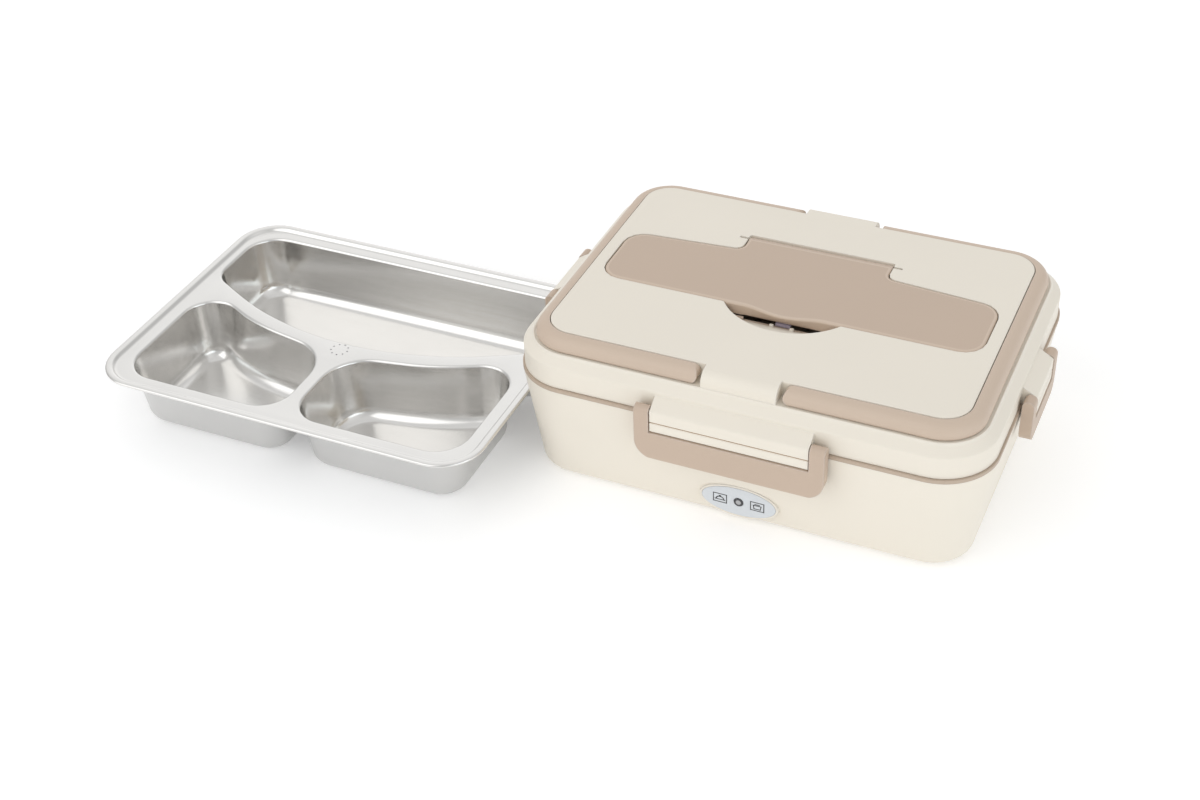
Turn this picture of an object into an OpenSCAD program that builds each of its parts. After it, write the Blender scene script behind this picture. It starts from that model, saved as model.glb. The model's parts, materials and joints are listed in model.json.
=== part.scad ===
/* [Lid] */
// Length of the raised top panel
panel_l = 210; // [190:1:240]
// Depth of the raised top panel, front to back
panel_w = 145; // [135:1:165]
// Corner radius of the top panel
panel_r = 14; // [12:1:18]
// Height of the lid from its lower edge to the panel's top
lid_h = 24.3; // [23:0.1:30]
// Height of the lid's upright skirt
skirt_h = 12.1; // [10:0.1:13]
// Distance of the skirt outside the panel's edge
skirt_out = 14; // [12.5:0.5:16]
// Wall of the lid shell
shell_t = 2.2; // [1.8:0.1:2.6]
// Gap between the lid's lower edge and the base
lid_gap = 0.2; // [0.1:0.1:0.5]

/* [Base] */
// Height of the bay for the heater and the wiring, under the liner
bay_h = 17.5; // [17:0.5:30]
// Distance of the casing's rim outside the panel's edge
base_out = 15; // [13.5:0.5:17]
// Inward lean of the casing's wall, in degrees
base_lean = 8.1; // [4:0.1:9]
// Rounding of the casing's lower edge
base_edge_r = 4; // [3:0.5:5]
// Wall of the base casing
base_t = 2.2; // [1.8:0.1:2.6]
// Thickness of the liner's flange, the line seen under the lid
flange_t = 2; // [1.5:0.1:3]
// Height of the feet
foot_h = 1.5; // [1:0.1:3]

/* [Handles] */
// Width of a handle's section, across the channel
handle_w = 7.05; // [6:0.05:7.2]
// Height of a handle's section
handle_h = 7.2; // [6:0.1:7.6]
// Step from the panel's top down to the handles
handle_drop = 0.5; // [0.3:0.1:1]
// Distance of each handle pivot from the middle
pivot_x = 25; // [24:0.5:32]
// Half width of the middle tabs between the handles
tab_half = 18.7; // [14:0.1:19]

/* [Clasps] */
// Half width between the arms of the front and rear clasps
long_clasp_half = 40; // [30:0.5:48]
// Half width between the arms of the side clasps
side_clasp_half = 17.4; // [14:0.1:25]
// Width of the long clasps' arms
long_arm_w = 7.5; // [6:0.1:9]
// Width of the side clasps' arms
side_arm_w = 6.9; // [5:0.1:9]
// Reach of the long clasps below their pivot
long_reach = 26.5; // [20:0.5:30]
// Reach of the side clasps below their pivot
side_reach = 22; // [18:0.5:28]
// Thickness of a clasp
clasp_t = 6; // [5:0.1:6.2]
// Distance of the clasp pivots outside the panel's edge
clasp_out = 19; // [18.5:0.1:20]

/* [Cutlery cover] */
// Distance of the cover's ends from the panel's ends
cover_end = 7; // [6:0.5:20]
// Front edge of the cover, forward of the middle
cover_front = 20; // [16:0.5:24]
// Back edge of the cover's wings beside the hinge, behind the middle
wing_inner = 27.5; // [24:0.5:30]
// Back edge of the cover's wings at their tips
wing_tip = 22.7; // [20:0.1:27]
// Half width of the cover's hinge leaf
leaf_half = 38.3; // [30:0.1:45]
// Hinge line, behind the middle
hinge_y = 38.5; // [36:0.5:44]
// Rounding of the cover's outer corners
cover_r = 11; // [8:0.5:14]
// Thickness of the cover
cover_t = 2.4; // [2:0.1:2.8]
// Depth of the rim under the cover
cover_rim = 6; // [5:0.1:6.5]
// Depth of the cutlery compartment below the panel's top
tub_depth = 18.2; // [15:0.1:18.4]

/* [Finger scoop] */
// Half length of the scoop along the cover's edge
scoop_half = 30.5; // [25:0.5:40]
// Reach of the scoop in front of the cover
scoop_reach = 16; // [12:0.5:20]
// Depth of the scoop where it meets the cover
scoop_drop = 7.5; // [6.5:0.1:8]

/* [Food tray] */
// Air between the tray's rim and the lid's skirt at each end
tray_end_gap = 6.3; // [5.5:0.1:9]
// Air between the tray's rim and the lid's skirt, front and back
tray_side_gap = 1.3; // [1.1:0.1:4]
// Corner radius of the rim
tray_r = 23; // [22:1:30]
// Height of the tray
tray_h = 37; // [30:0.5:39]
// Width of the rim
rim_w = 5.5; // [4.5:0.1:7]
// Step from the rim down to the web between the compartments
rim_step = 2; // [1.5:0.1:3]
// Thickness of the sheet
sheet_t = 0.8; // [0.6:0.1:1.2]
// Width of the web between the two front compartments
web_w = 5; // [4:0.5:12]
// Draft of the compartments' walls over their height
cup_draft = 5; // [3:0.5:8]
// Fillet around the compartments' floors
cup_fillet = 8; // [6:0.5:10]
// Gap between the tray and the box beside it
tray_gap = 0.8; // [0.5:0.1:30]
// Distance from the box's middle to the tray's middle, forward
tray_y = 55; // [30:1:80]

/* [Heater] */
// Distance of the heating plate's ends from the liner's rounded wall
plate_end_gap = 11.8; // [4:0.1:30]
// Distance of the heating plate's long sides from the liner's rounded wall
plate_side_gap = 14.3; // [4:0.1:20]
// Thickness of the heating plate
plate_t = 3; // [2:0.1:3.2]
// Length of the heating element
heater_l = 70; // [50:1:80]
// Width of the heating element
heater_w = 22; // [18:1:24]
// Thickness of the heating element
heater_t = 4.5; // [4:0.1:5]
// Radius of the thermostat
thermostat_r = 8; // [6:0.1:9]

/* [Front panel] */
// Half length of the oval panel
oval_half_l = 19; // [16:0.5:21]
// Half height of the oval panel
oval_half_h = 8.1; // [7:0.1:8.5]
// Height of the oval's centre above the ground
oval_z = 14.1; // [13.5:0.1:15]
// Offset of the oval's centre to the right
oval_x = 2; // [-5:0.5:10]
// Radius of the button
button_r = 2.35; // [1.8:0.05:2.6]
// Travel of the button
button_travel = 0.8; // [0.4:0.1:1]

/* [Power inlet] */
// Length of the socket's opening
socket_l = 17; // [15:0.1:18]
// Height of the socket's opening
socket_h = 8.6; // [8:0.1:9]
// Depth of the socket
socket_depth = 11.4; // [10:0.1:12]
// Distance between the contact pins
pin_pitch = 8.6; // [8:0.1:9]

/* [Hidden] */

// Fineness of drawn curves
$fn = 64;
// Straight steps in a small drawn arc
arc_steps = 4;

// Colours
cream = [0.90, 0.875, 0.825];
beige = [0.79, 0.715, 0.65];
steel = [0.78, 0.78, 0.77];
alloy = [0.72, 0.73, 0.75];
silicone = [0.93, 0.92, 0.88];
panel_grey = [0.84, 0.855, 0.87];
dark_grey = [0.35, 0.35, 0.36];
board_green = [0.12, 0.38, 0.22];
black = [0.08, 0.08, 0.09];
lead_red = [0.72, 0.16, 0.12];
lilac = [0.66, 0.62, 0.70];
lamp_amber = [0.95, 0.70, 0.30];

// Fits and small sizes that several pieces share
overrun = 1;      // how far a cut runs past the face that it opens
lap = 1.5;        // how far two joined walls run into each other
pin_play = 0.05;  // radial play of a pin in a piece that turns on it
pin_seat = 0.02;  // radial play of a pin or screw in the piece that holds it
hinge_pin_r = 1.5;

// Outline of the tray, which stands inside the lid's skirt, and the liner round it
tray_l = panel_l + 2 * (skirt_out - shell_t - tray_end_gap);
tray_w = panel_w + 2 * (skirt_out - shell_t - tray_side_gap);
liner_t = 1.5;
liner_floor_gap = 0.3;

// Heights above the ground
base_h = bay_h + liner_t + plate_t + liner_floor_gap + tray_h - sheet_t - flange_t;
base_top_z = foot_h + base_h;
seam_z = base_top_z + flange_t;
lid_z = seam_z + lid_gap;
top_z = lid_z + lid_h;
panel_under_z = top_z - shell_t;
handle_gap = 0.4; // air around the handles in their channel
handle_top_z = top_z - handle_drop;
handle_z = handle_top_z - handle_h;
channel_z = handle_z - handle_gap;
ledge_z = lid_z + skirt_h;

// Lid edge
panel_edge_r = 0.5;
skirt_edge_r = 0.9;
lip_r = 0.7;
lip_h = 0.45;
lip_step = 1.4;
lip_foot = 0.5;
lip_out = handle_gap + handle_w + lip_r + lip_r + panel_edge_r;
lip_z = channel_z + lip_h;
ledge_angle = 50;

// Middle tabs
tab_flat = 2.8;
tab_r = 5.8;

// Clasps, lugs and catch strips
arm_gap = 0.5;       // between a lug's end and the arm beside it
lug_out = 21.5;
lug_drop = 0.9;      // how far the lugs reach below the lid's edge
lug_face_h = 6.8;
lug_edge_r = 1.4;
lug_slope_angle = 58;
lug_step = 1.6;      // from the ledge's edge down to a lug's slope
flange_clear = 0.6;  // between the liner's flange and the lugs
strip_gap = 0.4;     // between a lug and the catch strip under it
strip_h = 5.5;
strip_edge = 0.8;
catch_gap = 0.25;    // between a catch strip and the clasp's bar under it
pivot_rise = 3.8;    // clasp pivots above the lid's edge
clasp_z = lid_z + pivot_rise;
lug_z = lid_z - lug_drop;
strip_top_z = lug_z - strip_gap;
strip_z = strip_top_z - strip_h;
bar_top_z = strip_z - catch_gap;
long_corner_r = 10;
side_corner_r = 8;
clasp_edge_r = 1;
clasp_pin_hold = 8;  // depth of a clasp pin in the lug
clasp_pin_arm = 5;   // depth of a clasp pin in the arm

// Handles
handle_edge_r = 0.6;
handle_crown_w = 6;
handle_crown_h = 6.3;
handle_pin_hold = 6;
handle_pin_reach = 5;
handle_boss_r = 3.6;
pin_end_gap = 0.2;   // between a pin's end and the bottom of its bore

// Cutlery cover and its compartment
cover_l = panel_l - 2 * cover_end;
cover_gap = 0.5;
cover_wall = 1.8;
knuckle_r = 3;
hinge_z = top_z - knuckle_r;
cover_inner_r = 5;
leaf_corner_r = 0.5;
cover_pin_r = 1.2;
cover_pin_hold = 4.6;
cover_pin_reach = 6;
hinge_block_over = 7.5;
hinge_block_t = 1.6;
hinge_block_front = 4;
tub_t = 1.6;
tub_floor_z = top_z - tub_depth;
hinge_slot_w = 1.6;

// Finger scoop
scoop_side_angle = 60;
scoop_t = 2;
scoop_seat_gap = 0.2;
scoop_r = (scoop_half * scoop_half + scoop_reach * scoop_reach) / (2 * scoop_reach);
scoop_wall_y = cover_front + cover_gap + tub_t + scoop_seat_gap;
scoop_apex_y = cover_front + scoop_reach;
scoop_slope = atan(scoop_drop / (scoop_apex_y - scoop_wall_y));
slot_half = 19.5;
latch_w = 7.6;
latch_x = 1;
latch_reach = 1.2;
latch_drop = 1.5;
latch_back = 1.4;
latch_up = 2.4;
cheek_w = 2;
cheek_gap = 0.4;
cheek_h = 1.6;
cheek_t = 1.2;

// Base casing
base_ledge_t = 3.2;
base_ledge_w = 10;
cover_seat_w = 6.3;
cover_recess = 1.6;
liner_rib_w = 1.5;
liner_rib_h = 2;
liner_rib_gap = 0.4;

// Liner, sized from the tray that stands in it
tray_play = 1;
liner_draft = 5;
liner_fillet = 5;
liner_half_x = tray_l / 2 - rim_w + sheet_t + tray_play;
liner_half_y = tray_w / 2 - rim_w + sheet_t + tray_play;
liner_r = tray_r - rim_w + sheet_t + tray_play;
tray_foot_z = seam_z + sheet_t - tray_h;
plate_top_z = tray_foot_z - liner_floor_gap;
liner_floor_z = plate_top_z - plate_t;
liner_under_z = liner_floor_z - liner_t;
liner_boss_end = 19;
liner_boss_side = 18.5;
liner_boss_x = panel_l / 2 - liner_boss_end;
liner_boss_y = panel_w / 2 - liner_boss_side;
liner_boss_r = 4.2;

// Heater group under the liner's floor
plate_l = 2 * (liner_half_x - liner_draft - liner_fillet - plate_end_gap);
plate_w = 2 * (liner_half_y - liner_draft - liner_fillet - plate_side_gap);
plate_r = 10;
heater_play = 1.5;
heater_z = liner_floor_z - heater_t;
heater_tab_l = 6;
heater_tab_w = 6;
heater_tab_t = 0.8;
clamp_t = 0.8;
clamp_w = 14;
clamp_y = 27;
clamp_boss_r = 3.2;
clamp_z = heater_z - clamp_t;
clamp_screw_r = 1.25;
clamp_head_r = 2.4;
clamp_head_h = 1.8;
thermostat_x = 58;
thermostat_h = 6;
thermostat_tab_x = 4;
thermostat_tab_h = 3;
thermostat_tab_w = 3;
fuse_r = 2;
fuse_l = 14;
fuse_gap = 1.5;
fuse_y = heater_w / 2 + fuse_gap + fuse_r;

// Front panel, its boss and the board behind it
oval_border = 1.2;
oval_steps = 72;
boss_face_out = 10.3;
panel_proud = 0.1;
panel_plate_t = 1;
panel_fit = 0.1;
button_fit = 0.15;
button_proud = 0.4;
button_flange_r = 3.4;
button_flange_t = 0.8;
button_pocket = 7;
button_pocket_gap = 0.3;
stem_r = 1.2;
board_out = 0;
board_t = 1.6;
board_half_l = 26;
board_z = 5.2;
board_h = 13.2;
post_x = 22;
post_z = 11.4;
post_r = 2.6;
board_screw_r = 1;
board_head_r = 1.9;
board_head_h = 1.2;
board_screw_l = 4;
switch_w = 6;
switch_t = 3.4;
switch_well = 2;
plunger_r = 1.5;
plunger_play = 0.1;
plunger_in = 0.7;
plunger_out = 1.1;
led_x = 9.3;
led_r = 1.5;
led_l = 4;
led_well_r = 2;

// Power inlet
inlet_face_out = 10.4;
inlet_boss_l = 30;
inlet_boss_z = 3.9;
inlet_boss_h = 18;
inlet_flange_l = 25;
inlet_flange_h = 14.6;
inlet_flange_t = 1;
inlet_body_l = 21;
inlet_body_h = 11.8;
inlet_back_t = 3;
inlet_fit = 0.2;
inlet_corner_r = 2;
inlet_pin_r = 1.15;
inlet_pin_short = 2.5;
inlet_tail = 3;
inlet_z = 12.6;

// Leads
lead_r = 0.9;
lead_side_x = 66;
lead_z = 9;
lead_dip = 3;
lead_sides = 8;
lead_turn_steps = 4;
lead_end_gap = 0.1;

// Bottom cover, screws and feet
bottom_t = 1.6;
bottom_gap = 0.4;
cup_r = 4.6;
cup_rise = 2.5;
cup_bore_r = 3.4;
base_screw_r = 1.5;
base_screw_hole_r = 1.8;
base_head_r = 2.8;
base_head_h = 1.8;
base_screw_l = 12;
foot_out = 2.8;
foot_in = 4.4;
foot_leg_x = 29;
foot_leg_y = 12;

// Lid plate, seal and screws
lid_plate_gap = 0.6;
lid_plate_rise = 2.2;
lid_plate_t = 1.8;
seal_w = 4;
seal_side_gap = 0.1;
seal_groove = 2.2;
seal_ring_w = 7;
seal_ring_out = 0.4;
seal_clear = 0.4;
seal_in = 1;
lid_screw_end = 9;
lid_screw_side = 10.5;
lid_screw_x = panel_l / 2 - lid_screw_end;
lid_screw_y = panel_w / 2 - lid_screw_side;
lid_boss_r = 3.6;
lid_pad_r = 4.2;
lid_pad_h = 1.2;
lid_screw_r = 1.25;
lid_screw_hole_r = 1.6;
lid_head_r = 2.6;
lid_head_h = 1.4;
lid_head_sink = 0.2;
lid_screw_l = 9;
lid_plate_z = lid_z + lid_plate_rise;
lid_boss_z = lid_plate_z + lid_plate_t + lid_pad_h;

// Tray: outlines as shares of the half sizes inside the rim step
rim_hem = 1.6;
rim_edge = 0.5;
cup_lip_r = 1.5;
pocket_half_x = tray_l / 2 - rim_w;
pocket_half_y = tray_w / 2 - rim_w;
pocket_r = tray_r - rim_w;
back_side_edge = 1.8;
back_back_edge = 4.7;
front_side_edge = 5.2;
front_front_edge = 5.2;
divider_w = 7;
divider_bend_r = 160;
divider_y = 9.2;      // forward offset of the divider's back edge at the middle
divider_shares = [1, 0.6, 0.2];
back_cup_r = 20;
back_cup_low_r = 16;
front_bend_share = 0.55;
front_bend_r = 120;
front_near_r = 18;    // the front compartments' corners: near the web, outside, and at the divider
front_far_r = 19;
front_back_r = 17.5;
front_web_r = 26;
cup_turn_steps = 6;
fillet_steps = 5;
lip_steps = 3;

function arc(cx, cy, r, from, to, steps = arc_steps) =
    [for (i = [0 : steps]) let (a = from + (to - from) * i / steps) [cx + r * cos(a), cy + r * sin(a)]];

function crown(cx, cy, rx, ry, from, to, steps) =
    [for (i = [0 : steps]) let (a = from + (to - from) * i / steps) [cx + rx * cos(a), cy + ry * sin(a)]];

function unit(v) = v / norm(v);
function left(v) = [-v[1], v[0]];
function turned(v, a) = [v[0] * cos(a) - v[1] * sin(a), v[0] * sin(a) + v[1] * cos(a)];

// One corner of an outline that runs anticlockwise: offset inwards by inset, then rounded
function round_corner(before, at, after, r, inset, steps) =
    let (u = unit(at - before), v = unit(after - at),
         bend = atan2(u[0] * v[1] - u[1] * v[0], u * v),
         way = sign(bend),
         corner = at + inset * (left(u) + left(v)) / (1 + u * v),
         radius = max(r - way * inset, panel_edge_r),
         start = corner - u * radius * abs(tan(bend / 2)),
         middle = start + left(u) * radius * way)
    [for (i = [0 : steps]) middle + turned(start - middle, bend * i / steps)];

function rounded(points, radii, inset = 0, steps = arc_steps) =
    let (n = len(points))
    [for (i = [0 : n - 1])
        each round_corner(points[(i + n - 1) % n], points[i], points[(i + 1) % n], radii[i], inset, steps)];

function at_height(points, z) = [for (p = points) [p[0], p[1], z]];

// Faces of a stack of equal rings, closed at both ends
function stack_faces(rings, n) = concat(
    [[for (i = [0 : n - 1]) i]],
    [for (k = [0 : rings - 2]) for (i = [0 : n - 1]) let (j = (i + 1) % n)
        each [[k * n + i, (k + 1) * n + i, k * n + j], [k * n + j, (k + 1) * n + i, (k + 1) * n + j]]],
    [[for (i = [n - 1 : -1 : 0]) (rings - 1) * n + i]]);

module stack(rings) {
    polyhedron(points = [for (r = rings) each r], faces = stack_faces(len(rings), len(rings[0])));
}

// A profile of distance outside the edge and height, swept round a rectangle with round corners
module swept(half_x, half_y, r) {
    for (side = [0 : 3]) {
        near = side % 2 == 0 ? half_x : half_y;
        along = side % 2 == 0 ? half_y : half_x;
        rotate([0, 0, 90 * side]) {
            rotate([90, 0, 0])
                linear_extrude(2 * (along - r), center = true)
                    translate([near, 0]) children();
            translate([near - r, along - r, 0])
                rotate_extrude(angle = 90)
                    translate([r, 0]) children();
        }
    }
}

module swept_panel() {
    swept(panel_l / 2, panel_w / 2, panel_r) children();
}

module round_rect(half_x, half_y, r) {
    square([2 * half_x, 2 * (half_y - r)], center = true);
    square([2 * (half_x - r), 2 * half_y], center = true);
    for (sx = [-1, 1])
        for (sy = [-1, 1])
            translate([sx * (half_x - r), sy * (half_y - r)]) circle(r);
}

module round_slab(half_x, half_y, r, z, h) {
    translate([0, 0, z]) linear_extrude(h) round_rect(half_x, half_y, r);
}

// One side of the box, seen from outside: x runs along it and -y leads away from the panel's edge
module on_side(side) {
    rotate([0, 0, 90 * side])
        translate([0, side % 2 == 0 ? -panel_w / 2 : -panel_l / 2, 0])
            children();
}

// A profile of distance outside the panel's edge and height, drawn out along one side
module along_side(length) {
    rotate([90, 0, -90]) linear_extrude(length, center = true) children();
}

// A cylinder that points away from the panel's edge
module outward(x, z, r, from, to) {
    translate([x, -from, z]) rotate([90, 0, 0]) cylinder(r = r, h = to - from);
}

module sideways(x, y, z, r, length) {
    translate([x, y, z]) rotate([0, 90, 0]) cylinder(r = r, h = length);
}

function clasp_half(side) = side % 2 == 0 ? long_clasp_half : side_clasp_half;
function lug_half(side) = clasp_half(side) - arm_gap;

// Outline of the cutlery cover; back is where its hinge leaf ends
function cover_outline(inset, back) =
    rounded([
        [-cover_l / 2, -cover_front], [cover_l / 2, -cover_front], [cover_l / 2, wing_tip],
        [leaf_half, wing_inner], [leaf_half, back], [-leaf_half, back], [-leaf_half, wing_inner],
        [-cover_l / 2, wing_tip]
    ], [
        cover_r, cover_r, cover_r, cover_inner_r, leaf_corner_r, leaf_corner_r, cover_inner_r, cover_r
    ], inset);

// Casing wall: tangent line from the rim down to the round lower edge
base_edge_z = foot_h + base_edge_r;
wall_run = (base_top_z + base_edge_r * sin(base_lean) - base_edge_z) / cos(base_lean);
base_edge_out = base_out - wall_run * sin(base_lean) - base_edge_r * cos(base_lean);
function wall_out(z) = base_out - (base_top_z - z) * tan(base_lean);
inner_offset = base_t / cos(base_lean);
base_inner_z = foot_h + base_ledge_t;

module base_profile() {
    polygon(concat(
        [[base_out, base_top_z]],
        arc(base_edge_out, base_edge_z, base_edge_r, -base_lean, -90),
        [
            [-cover_seat_w + bottom_gap, foot_h], [-cover_seat_w + bottom_gap, foot_h + cover_recess],
            [-base_ledge_w, foot_h + cover_recess], [-base_ledge_w, base_inner_z],
            [wall_out(base_inner_z) - inner_offset, base_inner_z], [base_out - inner_offset, base_top_z]
        ]));
}

module strip_profile() {
    seat_out = base_out + flange_clear / 2;
    polygon([
        [base_out - base_t, base_top_z], [seat_out, base_top_z], [seat_out, strip_top_z],
        [lug_out - strip_edge / 2, strip_top_z], [lug_out, strip_top_z - strip_edge / 2],
        [lug_out, strip_z + strip_edge], [lug_out - strip_edge, strip_z],
        [wall_out(strip_z) - base_t / 2, strip_z]
    ]);
}

function oval(grow) =
    [for (i = [0 : oval_steps - 1]) let (a = 360 * i / oval_steps)
        [oval_x + (oval_half_l + grow) * cos(a), oval_z + (oval_half_h + grow) * sin(a)]];

module oval_slab(grow, from, to) {
    translate([0, -from, 0]) rotate([90, 0, 0]) linear_extrude(to - from) polygon(oval(grow));
}

module inlet_block(half_l, half_h, r, from, to) {
    translate([0, -from, inlet_z])
        rotate([90, 0, 0]) linear_extrude(to - from) round_rect(half_l, half_h, r);
}

module base_shell() {
    color(cream)
    difference() {
        union() {
            swept_panel() base_profile();
            for (side = [0 : 3])
                on_side(side) along_side(2 * lug_half(side)) strip_profile();
            on_side(0) {
                oval_slab(oval_border, wall_out(oval_z) - base_t, boss_face_out);
                for (sx = [-1, 1])
                    outward(oval_x + sx * post_x, post_z, post_r, board_out, wall_out(post_z) - base_t / 2);
            }
            on_side(2)
                translate([-inlet_boss_l / 2, -inlet_face_out, inlet_boss_z])
                    cube([inlet_boss_l, inlet_face_out - wall_out(inlet_boss_z) + base_t, inlet_boss_h]);
        }
        on_side(0) {
            oval_slab(panel_fit, boss_face_out - panel_plate_t + panel_proud, boss_face_out + overrun);
            outward(oval_x, oval_z, button_r + button_fit, board_out, boss_face_out + overrun);
            outward(oval_x, oval_z, button_flange_r + button_pocket_gap, board_out, button_pocket);
            for (sx = [-1, 1]) {
                outward(oval_x + sx * led_x, oval_z, led_well_r, board_out, boss_face_out);
                outward(oval_x + sx * post_x, post_z, board_screw_r + pin_seat,
                        board_out - overrun, board_out + board_screw_l);
            }
        }
        on_side(2) {
            inlet_block(inlet_flange_l / 2 + inlet_fit, inlet_flange_h / 2 + inlet_fit, inlet_corner_r,
                        inlet_face_out - inlet_flange_t, inlet_face_out + overrun);
            inlet_block(inlet_body_l / 2 + inlet_fit, inlet_body_h / 2 + inlet_fit, inlet_corner_r,
                        board_out, inlet_face_out);
        }
    }
}

module liner_profile() {
    polygon(concat(
        [[0, seam_z]],
        arc(liner_fillet - liner_draft - liner_fillet - liner_fillet, liner_floor_z + liner_fillet,
            liner_fillet, 0, -90),
        [[-liner_draft - liner_fillet - lap, liner_floor_z], [-liner_draft - liner_fillet - lap, liner_under_z]],
        arc(-liner_draft - liner_fillet, liner_floor_z + liner_fillet, liner_fillet + liner_t, -90, 0),
        [[liner_t, base_top_z], [liner_t + lap, base_top_z], [liner_t + lap, seam_z]]));
}

module heater_opening(z, h) {
    low = heater_w / 2 + heater_play;
    high = fuse_y + fuse_r + heater_play;
    translate([-heater_l / 2 - heater_play, -low, z]) cube([heater_l + 2 * heater_play, low + high, h]);
}

module inner_liner() {
    rib_out = base_out - inner_offset - liner_rib_gap;
    color(beige)
    difference() {
        union() {
            swept(liner_half_x, liner_half_y, liner_r) liner_profile();
            round_slab(liner_half_x - liner_draft - liner_fillet, liner_half_y - liner_draft - liner_fillet,
                       liner_r - liner_draft - liner_fillet, liner_under_z, liner_t);
            difference() {
                round_slab(panel_l / 2 + base_out, panel_w / 2 + base_out, panel_r + base_out,
                           base_top_z, flange_t);
                round_slab(liner_half_x + liner_t, liner_half_y + liner_t, liner_r + liner_t,
                           base_top_z - overrun, flange_t + 2 * overrun);
            }
            swept_panel() polygon([
                [rib_out - liner_rib_w, base_top_z - liner_rib_h],
                [rib_out - liner_rib_h * tan(base_lean), base_top_z - liner_rib_h],
                [rib_out, base_top_z], [rib_out, base_top_z + flange_t / 2],
                [rib_out - liner_rib_w, base_top_z + flange_t / 2]
            ]);
            for (sx = [-1, 1])
                for (sy = [-1, 1])
                    translate([sx * liner_boss_x, sy * liner_boss_y, foot_h + bottom_t + cup_rise])
                        cylinder(r = liner_boss_r, h = liner_under_z - foot_h - cup_rise);
            for (sy = [-1, 1])
                translate([0, sy * clamp_y, heater_z])
                    cylinder(r = clamp_boss_r, h = liner_floor_z - heater_z - liner_t / 2);
        }
        heater_opening(liner_under_z - overrun, liner_t + 2 * overrun);
        translate([thermostat_x, 0, liner_under_z - overrun])
            cylinder(r = thermostat_r + heater_play / 2, h = liner_t + 2 * overrun);
        for (sx = [-1, 1])
            for (sy = [-1, 1])
                translate([sx * liner_boss_x, sy * liner_boss_y, foot_h])
                    cylinder(r = base_screw_r + pin_seat, h = base_screw_l + cup_rise + overrun);
        for (sy = [-1, 1])
            translate([0, sy * clamp_y, heater_z - overrun])
                cylinder(r = clamp_screw_r + pin_seat, h = liner_under_z - heater_z + overrun);
    }
}

module heating_plate() {
    color(alloy) round_slab(plate_l / 2, plate_w / 2, plate_r, liner_floor_z, plate_t);
}

module ptc_heater() {
    color(alloy) {
        translate([-heater_l / 2, -heater_w / 2, heater_z]) cube([heater_l, heater_w, heater_t]);
        for (sx = [-1, 1])
            translate([sx * (heater_l + heater_tab_l) / 2, 0, heater_z + heater_tab_t / 2])
                cube([heater_tab_l, heater_tab_w, heater_tab_t], center = true);
    }
}

module heater_clamp() {
    color(steel)
    difference() {
        union() {
            translate([-clamp_w / 2, -clamp_y, clamp_z]) cube([clamp_w, 2 * clamp_y, clamp_t]);
            for (sy = [-1, 1])
                translate([0, sy * clamp_y, clamp_z]) cylinder(r = clamp_w / 2, h = clamp_t);
        }
        for (sy = [-1, 1])
            translate([0, sy * clamp_y, clamp_z - overrun])
                cylinder(r = clamp_screw_r + pin_play, h = clamp_t + 2 * overrun);
    }
}

module screw(r, length, head_r, head_h) {
    cylinder(r = r, h = length);
    translate([0, 0, -head_h]) cylinder(r = head_r, h = head_h);
}

module clamp_screws() {
    color(steel)
    for (sy = [-1, 1])
        translate([0, sy * clamp_y, clamp_z])
            screw(clamp_screw_r, liner_under_z - clamp_z - overrun, clamp_head_r, clamp_head_h);
}

module thermostat() {
    color(black) {
        translate([thermostat_x, 0, liner_floor_z - thermostat_h])
            cylinder(r = thermostat_r, h = thermostat_h);
        for (sx = [-1, 1])
            translate([thermostat_x + sx * thermostat_tab_x - heater_tab_t / 2, -thermostat_tab_w / 2,
                       liner_floor_z - thermostat_h - thermostat_tab_h])
                cube([heater_tab_t, thermostat_tab_w, thermostat_tab_h + overrun]);
    }
}

module thermal_fuse() {
    color(steel) sideways(-fuse_l / 2, fuse_y, liner_floor_z - fuse_r - panel_fit, fuse_r, fuse_l);
}

module control_board() {
    color(board_green)
    on_side(0)
    difference() {
        translate([oval_x - board_half_l, -board_out, board_z])
            cube([2 * board_half_l, board_t, board_h]);
        for (sx = [-1, 1])
            outward(oval_x + sx * post_x, post_z, board_screw_r + pin_play,
                    board_out - board_t - overrun, board_out + overrun);
    }
}

module board_screws() {
    color(steel)
    on_side(0)
    for (sx = [-1, 1])
        translate([oval_x + sx * post_x, board_t - board_out, post_z])
            rotate([90, 0, 0])
                screw(board_screw_r, board_t + board_screw_l - overrun, board_head_r, board_head_h);
}

module tact_switch() {
    color(dark_grey)
    on_side(0)
    difference() {
        translate([oval_x - switch_w / 2, -board_out - switch_t, oval_z - switch_w / 2])
            cube([switch_w, switch_t, switch_w]);
        outward(oval_x, oval_z, plunger_r + plunger_play,
                board_out + switch_t - switch_well, board_out + switch_t + overrun);
    }
}

module switch_plunger() {
    color(black)
    on_side(0)
        outward(oval_x, oval_z, plunger_r, board_out + switch_t - plunger_in, board_out + switch_t + plunger_out);
}

module indicator_leds() {
    color(lamp_amber)
    on_side(0)
    for (sx = [-1, 1]) {
        outward(oval_x + sx * led_x, oval_z, led_r, board_out, board_out + led_l);
        translate([oval_x + sx * led_x, -board_out - led_l, oval_z]) sphere(r = led_r);
    }
}

module control_panel() {
    color(panel_grey)
    on_side(0)
    difference() {
        oval_slab(0, boss_face_out - panel_plate_t + panel_proud, boss_face_out + panel_proud);
        outward(oval_x, oval_z, button_r + button_fit, board_out, boss_face_out + overrun);
    }
}

module power_button() {
    flange_in = button_pocket - button_flange_t;
    color(dark_grey)
    on_side(0) {
        outward(oval_x, oval_z, button_r, flange_in, boss_face_out + button_proud);
        outward(oval_x, oval_z, button_flange_r, flange_in - pin_play, button_pocket - pin_play);
        outward(oval_x, oval_z, stem_r, board_out + switch_t + plunger_out, button_pocket - pin_play);
    }
}

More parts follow.
